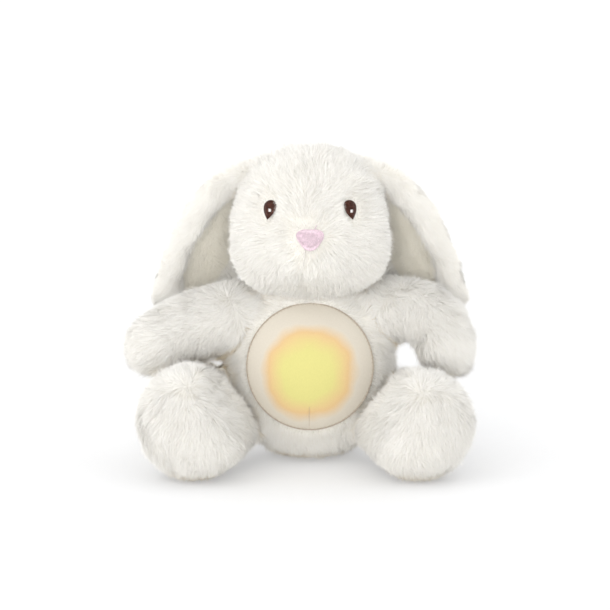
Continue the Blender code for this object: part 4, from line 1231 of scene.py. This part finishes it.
def stretch_window(settings):
    """The domed cloth, with a turned-in edge behind its seam."""
    rings, spokes = 40, 240
    angles = [2.0 * math.pi * spoke / spokes for spoke in range(spokes)]
    points = [dome_point(0.0, 0.0)]
    for ring in range(1, rings + 1):
        points.extend(dome_point(ring / rings, angle) for angle in angles)
    for out, deep in ((1.004, 0.0012), (0.998, 0.0030)):
        for angle in angles:
            flat = dome_point(1.0, angle) - WINDOW_CENTRE
            points.append(WINDOW_CENTRE + flat * out - WINDOW_OUT * deep)
    faces = [(0, 1 + spoke, 1 + (spoke + 1) % spokes) for spoke in range(spokes)]
    for ring in range(rings + 1):
        for spoke in range(spokes):
            a = 1 + ring * spokes + spoke
            b = 1 + ring * spokes + (spoke + 1) % spokes
            faces.append((a, a + spokes, b + spokes, b))
    cloth = add_mesh("window_cloth", points, faces)
    thick = cloth.modifiers.new("Thickness", "SOLIDIFY")
    thick.thickness = CLOTH_THICKNESS
    thick.offset = -1.0
    apply_modifiers(cloth)
    bm = bmesh.new()
    bm.from_mesh(cloth.data)
    bmesh.ops.recalc_face_normals(bm, faces=bm.faces)
    bm.to_mesh(cloth.data)
    bm.free()
    dress(cloth, window_material(settings))
    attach(cloth, ROOT_BODY)
    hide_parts("belly_window")


def stitch_window(settings):
    """The corded seam round the window, its small stitches and the thread of the dart below."""
    steps = 240
    ring = [dome_point(1.0, 2.0 * math.pi * i / steps) + WINDOW_OUT * 0.0002 for i in range(steps + 1)]
    parts = [tube(ring, [SEAM_RADIUS] * len(ring))]
    rng = np.random.default_rng(71)
    for index in range(STITCHES):
        angle = 2.0 * math.pi * (index + rng.uniform(-0.2, 0.2)) / STITCHES
        inner = dome_point(0.974, angle)
        over = dome_point(0.990, angle + 0.006) + WINDOW_OUT * 0.0006
        outer = dome_point(1.0, angle + 0.014) - WINDOW_OUT * 0.0004
        outer = outer + (dome_point(1.0, angle) - WINDOW_CENTRE) * 0.02
        parts.append(tube([inner, over, outer], [0.00012, 0.00018, 0.00012], 5))
    dart = [dome_point(r, -math.pi / 2.0 - 0.0006 / (r * WINDOW_RADIUS)) + WINDOW_OUT * 0.0004
            for r in np.linspace(0.62, 1.0, 26)]
    parts.append(tube(dart, np.linspace(0.00012, 0.00024, len(dart)), 5))
    seam = add_mesh("window_seam", *join_parts(parts))
    # The seam thread's painted glint colour
    shine = (0.55, 0.47, 0.39)
    dress(seam, thread_material("seam_thread", tuple(settings.seam_colour), shine, (1.0, 1.0, 1.0), 0.6))
    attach(seam, ROOT_BODY)


class RABBIT_OT_window(bpy.types.Operator):
    """Stretch the glowing cloth over the belly light and stitch its seam"""

    bl_idname = "rabbit.window"
    bl_label = "Belly window"

    def execute(self, context):
        stretch_window(context.scene.rabbit_window)
        stitch_window(context.scene.rabbit_window)
        return {"FINISHED"}


def straight_in(tree, x, z):
    """Where a needle that goes straight in from the front meets a solid, or None."""
    hit = tree.ray_cast(Vector((x, -0.12, z)), Vector((0.0, 1.0, 0.0)), 0.12)[0]
    return None if hit is None else np.array(hit)


def satin_parts(part, pitch, radius, seed, upright=False):
    """Close parallel threads laid over an embroidered shape, and where each of them begins and ends."""
    dip = 0.0006
    tree = tree_of(part)
    low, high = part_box(part)
    rng = np.random.default_rng(seed)
    along, across = (2, 0) if upright else (0, 2)
    parts = []
    ends = []
    rows = int((high[across] - low[across]) / pitch)
    for index in range(rows + 1):
        level = low[across] + pitch * (index + 0.3) + rng.normal(0.0, pitch * 0.06)
        hits = []
        for step in np.linspace(low[along], high[along], 90):
            start = Vector((0.0, low[1] - 0.01, 0.0))
            start[along] = step
            start[across] = level
            hit = tree.ray_cast(start, Vector((0.0, 1.0, 0.0)), 0.03)[0]
            if hit is not None:
                hits.append(np.array(hit))
        if len(hits) < 3:
            continue
        picks = np.linspace(0, len(hits) - 1, 7).astype(int)
        spots = np.array([hits[i] for i in picks])
        arch = np.sin(np.linspace(0.0, math.pi, len(spots)))
        spots[:, 1] -= radius * (0.2 + 0.8 * arch)
        spots[0, 1] += dip
        spots[-1, 1] += dip
        spots[:, across] += rng.normal(0.0, pitch * 0.12, len(spots)) * arch
        ends.append((spots[0], spots[-1]))
        parts.append(tube(spots, radius * (0.6 + 0.4 * arch) * rng.uniform(0.92, 1.08)))
    return parts, ends


def stitched(name, part, parts, material):
    """An embroidered shape: the solid's own form as its padding, with the threads over it."""
    base = coords(NODES[part].data)
    rows = [tuple(p.vertices) for p in NODES[part].data.polygons]
    obj = add_mesh(name, *join_parts([(list(base), rows), *parts]))
    settle_face(obj, material)
    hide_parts(part)


def settle_face(obj, material):
    dress(obj, material)
    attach(obj, ROOT_BODY)


def stitch_highlight(side, x, z, radius, material):
    """Four short white stitches across the eye."""
    tree = tree_of(side + "_eye")
    shine = []
    for step in (-1.5, -0.5, 0.5, 1.5):
        row = []
        for share in (-1.0, 0.0, 1.0):
            hit = straight_in(tree, x + share * 0.00095, z + step * 0.00052)
            if hit is None:
                raise RuntimeError("the highlight misses the eye")
            row.append(hit - np.array([0.0, radius * (2.1 if share == 0.0 else 1.5), 0.0]))
        shine.append(tube(row, [radius * 0.7, radius * 1.1, radius * 0.7]))
    settle_face(add_mesh(side + "_eye_highlight", *join_parts(shine)), material)


def stitch_nose(radius, material):
    """Upright satin threads with an outline thread at both ends and one loose end."""
    parts, ends = satin_parts("nose", radius * 1.75, radius, 87, upright=True)
    for which in (0, 1):
        row = [end[which] - np.array([0.0, 0.0007, 0.0]) for end in ends]
        parts.append(tube(row, [radius * 1.15] * len(row)))
    top = ends[len(ends) * 2 // 3][1]
    steps = ((0.0, -0.0004, -0.0008), (0.0006, -0.0009, 0.0012), (0.0016, 0.0008, 0.0034))
    parts.append(tube([top + np.array(step) for step in steps], [radius, radius * 1.1, radius * 0.7]))
    stitched("nose_satin", "nose", parts, material)


def lay_crease_shade():
    """The line that runs down from the nose, deep in the pile: a grey thread laid where the crease below the
    nose falls into shade, as painted shade.
    """
    head = tree_of("head")
    line = []
    for share in np.linspace(0.0, 1.0, 18):
        hit = straight_in(head, -0.0036 - 0.0034 * share, 0.1700 - 0.026 * share)
        if hit is None:
            raise RuntimeError("the line under the nose misses the head")
        line.append(hit + np.array([0.0, 0.0012 + 0.0012 * share, 0.0]))
    crease = add_mesh("muzzle_line", *tube(line, np.linspace(0.0006, 0.0004, len(line))))
    # Painted shade: the grey thread stands for the crease's shade, with a paler painted glint
    thread = thread_material("muzzle_thread", (0.80, 0.77, 0.73), (0.86, 0.83, 0.79), (1.0, 1.0, 0.2), 0.7)
    settle_face(crease, thread)


class RABBIT_OT_face(bpy.types.Operator):
    """Embroider the eyes and the nose, and lay the grey painted shade line under the nose"""

    bl_idname = "rabbit.face"
    bl_label = "Face"

    def execute(self, context):
        settings = context.scene.rabbit_face
        radius = settings.thread
        eye_colour, nose_colour = tuple(settings.eye_colour), tuple(settings.nose_colour)
        # The second colour of each thread is its painted glint
        brown = thread_material("eye_thread", eye_colour, (0.16, 0.052, 0.030), (0.2, 1.0, 1.0), 0.35)
        pale, shine = (0.93, 0.91, 0.90), (1.0, 0.97, 0.95)
        white = thread_material("highlight_thread", pale, shine, (1.0, 1.0, 1.0), 0.4)
        for side, seed, x, z in (("left", 81, -0.0295, 0.1966), ("right", 83, 0.0304, 0.1959)):
            parts, _ = satin_parts(side + "_eye", radius * 1.65, radius, seed)
            stitched(side + "_eye_satin", side + "_eye", parts, brown)
            stitch_highlight(side, x, z, radius, white)
        pink = thread_material("nose_thread", nose_colour, (0.93, 0.74, 0.84), (1.0, 1.0, 0.2), 0.45)
        stitch_nose(radius, pink)
        lay_crease_shade()
        return {"FINISHED"}


class RABBIT_OT_flap(bpy.types.Operator):
    """Pad the closing flap on the back, with pile on its outside"""

    bl_idname = "rabbit.flap"
    bl_label = "Back flap"

    def execute(self, context):
        settings = context.scene.rabbit_pile
        skin = padded_skin("flap_skin", ("back_flap",), 0.0018, 0.0, even_share, pressure=3.0, cap=0.0005)
        points = coords(skin.data)
        ways = normals(skin.data)
        reach = 0.032
        clear, hollow = openness(points, ways, tree_of("torso", "tail"), reach)
        tone = np.zeros((len(points), 4))
        tone[:, 3] = 1.0
        cover(skin, tone, "flap_body", "back_flap")
        tree = tree_of("flap_skin")

        def inner_side(middles):
            facing = [tree.find_nearest(Vector(spot))[1][1] for spot in middles]
            return np.array(facing) < 0.25

        clear = np.where(ways[:, 1] > 0.1, reach, clear)
        length = settings.length * 0.7
        pile = grow_pile("flap_pile", skin, 26000, length, flap_comb, even_share, clear, hollow, 91,
                         inner_side, stand=0.5)
        settle(pile, "pile", "flap_body")
        return {"FINISHED"}


class RABBIT_OT_fittings(bpy.types.Operator):
    """Finish the light unit and the battery box behind the cloth"""

    bl_idname = "rabbit.fittings"
    bl_label = "Light and battery fittings"

    def execute(self, context):
        numbers = (1, 2, 3)
        finishes = {
            "milky_plastic": ["light_cap"],
            "white_plastic": ["light_bezel", "light_shell", "battery_box", "battery_door", "switch_plunger"],
            "black_plastic": ["switch_body"],
            "red_sleeve": ["power_lead"],
            "metal": ["contact_plate_left", "contact_plate_right", "door_screw",
                      *("board_screw_%d" % number for number in numbers),
                      *("cell_spring_%d" % number for number in numbers)],
            "tape": ["hook_strip", "loop_strip"],
        }
        for finish, names in finishes.items():
            for name in names:
                finish_node(name, shared_material(finish))
        finish_node("light_board", board_material("rabbit_board"))
        sleeve = sleeve_material("rabbit_sleeve")
        for number in numbers:
            finish_node("cell_%d" % number, sleeve)
        lamp, shader = start_material("rabbit_lamp", 0.2)
        glow = ramp(lamp, noise_socket(lamp, 400.0), [(0.3, (0.9, 0.62, 0.16)), (0.7, (1.0, 0.76, 0.26))])
        wire(lamp, glow, shader.inputs["Base Color"])
        wire(lamp, glow, shader.inputs["Emission Color"])
        shader.inputs["Emission Strength"].default_value = 1.5
        for number in (1, 2, 3, 4):
            finish_node("led_%d" % number, lamp)
        return {"FINISHED"}


def camera_only(mat, shown, lit):
    """A shader seen by the camera, in gloss and through clear pieces, and another that lights the object."""
    path = node(mat, "ShaderNodeLightPath")
    seen = path.outputs["Is Camera Ray"]
    for name in ("Is Glossy Ray", "Is Transmission Ray"):
        either = node(mat, "ShaderNodeMath", operation="MAXIMUM")
        wire(mat, seen, either.inputs[0])
        wire(mat, path.outputs[name], either.inputs[1])
        seen = either.outputs[0]
    blend = node(mat, "ShaderNodeMixShader")
    for socket, source in zip(blend.inputs, (seen, lit.outputs[0], shown.outputs[0])):
        wire(mat, source, socket)
    return blend.outputs[0]


def set_camera(scene, settings):
    camera = bpy.data.cameras.new("camera")
    camera.lens = settings.lens
    camera.clip_end = 50.0
    eye = add_object("camera", camera)
    back = Vector((0.0, -math.cos(settings.elevation), math.sin(settings.elevation)))
    aim = Vector((-0.0037, -0.030, 0.1204))
    eye.location = aim + back * settings.distance
    eye.rotation_mode = "QUATERNION"
    eye.rotation_quaternion = (-back).to_track_quat("-Z", "Y")
    scene.camera = eye


def lay_floor():
    """A wide sheet of white paper that still shows the rabbit's shadow."""
    half, cells = 6.0, 24
    wide = cells + 1
    lines = np.linspace(-half, half, wide)
    spots = [(x, y, 0.0) for y in lines for x in lines]
    faces = [(r * wide + c, r * wide + c + 1, (r + 1) * wide + c + 1, (r + 1) * wide + c)
             for r in range(cells) for c in range(cells)]
    floor = add_mesh("floor", spots, faces)
    mat = bpy.data.materials.new("floor_paper")
    mat.use_nodes = True
    tree = mat.node_tree
    tree.nodes.remove(tree.nodes["Principled BSDF"])
    shown = node(mat, "ShaderNodeBsdfDiffuse")
    grain = noise_socket(mat, 120.0, 3.0)
    wire(mat, ramp(mat, grain, [(0.3, (0.90,) * 3), (0.7, (0.91,) * 3)]), shown.inputs["Color"])
    paper = node(mat, "ShaderNodeEmission", Strength=1.0)
    pale = node(mat, "ShaderNodeMixShader")
    pale.inputs[0].default_value = 0.34
    wire(mat, shown.outputs[0], pale.inputs[1])
    wire(mat, paper.outputs[0], pale.inputs[2])
    lit = node(mat, "ShaderNodeBsdfDiffuse", Color=(0.93, 0.925, 0.91, 1.0))
    wire(mat, camera_only(mat, pale, lit), tree.nodes["Material Output"].inputs["Surface"])
    dress(floor, mat)


def hang_lamps(settings):
    """A wide window light from the upper left and a wide lamp in front, each with its angle and its way."""
    lamps = (("window_light", settings.key, 60.0, (-0.62, -0.58, 0.53)),
             ("front_light", settings.lamp, 36.0, (-0.06, -0.99, 0.12)))
    for name, strength, angle, way in lamps:
        sun = bpy.data.lights.new(name, "SUN")
        sun.energy = strength
        sun.angle = math.radians(angle)
        sun.color = (1.0, 0.985, 0.96)
        lamp = add_object(name, sun)
        lamp.rotation_mode = "QUATERNION"
        lamp.rotation_quaternion = Vector(way).to_track_quat("Z", "Y")


def light_room(scene, settings):
    """A white background, and light from all round that is weaker on the camera's side."""
    world = bpy.data.worlds.new("studio")
    world.use_nodes = True
    world.node_tree.nodes.clear()
    scene.world = world
    shown = node(world, "ShaderNodeBackground", Strength=1.0, Color=(1.0, 1.0, 1.0, 1.0))
    lit = node(world, "ShaderNodeBackground", Color=(0.985, 0.99, 1.0, 1.0))
    way = node(world, "ShaderNodeTexCoord")
    facing = node(world, "ShaderNodeVectorMath", operation="DOT_PRODUCT")
    facing.inputs[1].default_value = (-0.20, -0.97, -0.05)
    wire(world, way.outputs["Generated"], facing.inputs[0])
    level = node(world, "ShaderNodeMapRange", From_Min=-0.1, From_Max=0.9, To_Min=settings.fill,
                 To_Max=settings.front)
    wire(world, facing.outputs["Value"], level.inputs["Value"])
    wire(world, level.outputs["Result"], lit.inputs["Strength"])
    out = node(world, "ShaderNodeOutputWorld")
    wire(world, camera_only(world, shown, lit), out.inputs["Surface"])


class RABBIT_OT_stage(bpy.types.Operator):
    """Set the camera, the pale floor, the lamps and the background"""

    bl_idname = "rabbit.stage"
    bl_label = "Stage"

    def execute(self, context):
        scene = context.scene
        settings = scene.rabbit_stage
        set_camera(scene, settings)
        lay_floor()
        hang_lamps(settings)
        light_room(scene, settings)
        scene.view_settings.view_transform = "Standard"
        return {"FINISHED"}


class RABBIT_PT_panel(bpy.types.Panel):
    """Lists the steps that dress the night light"""

    bl_idname = "RABBIT_PT_panel"
    bl_label = "Plush Rabbit Night Light"
    bl_space_type = "VIEW_3D"
    bl_region_type = "UI"
    bl_category = "Night Light"

    def draw(self, context):
        layout = self.layout
        scene = context.scene
        for group in (scene.rabbit_pile, scene.rabbit_window, scene.rabbit_face, scene.rabbit_stage):
            box = layout.box()
            for key in group.bl_rna.properties.keys():
                if key not in ("rna_type", "name"):
                    box.prop(group, key)
        for step in STEPS:
            layout.operator(step.bl_idname)


GROUPS = {
    "rabbit_pile": PileSettings,
    "rabbit_window": WindowSettings,
    "rabbit_face": FaceSettings,
    "rabbit_stage": StageSettings,
}
STEPS = (
    RABBIT_OT_stage, RABBIT_OT_legs, RABBIT_OT_torso, RABBIT_OT_head, RABBIT_OT_arms, RABBIT_OT_ears,
    RABBIT_OT_tail, RABBIT_OT_window, RABBIT_OT_face, RABBIT_OT_flap, RABBIT_OT_fittings,
)


def register():
    for name, group in GROUPS.items():
        bpy.utils.register_class(group)
        setattr(bpy.types.Scene, name, bpy.props.PointerProperty(type=group))
    for kind in (*STEPS, RABBIT_PT_panel):
        bpy.utils.register_class(kind)


def unregister():
    for kind in (RABBIT_PT_panel, *STEPS[::-1]):
        bpy.utils.unregister_class(kind)
    for name, group in GROUPS.items():
        delattr(bpy.types.Scene, name)
        bpy.utils.unregister_class(group)


def main():
    register()
    for step in STEPS:
        group, _, action = step.bl_idname.partition(".")
        getattr(getattr(bpy.ops, group), action)()


if __name__ == "__main__":
    main()
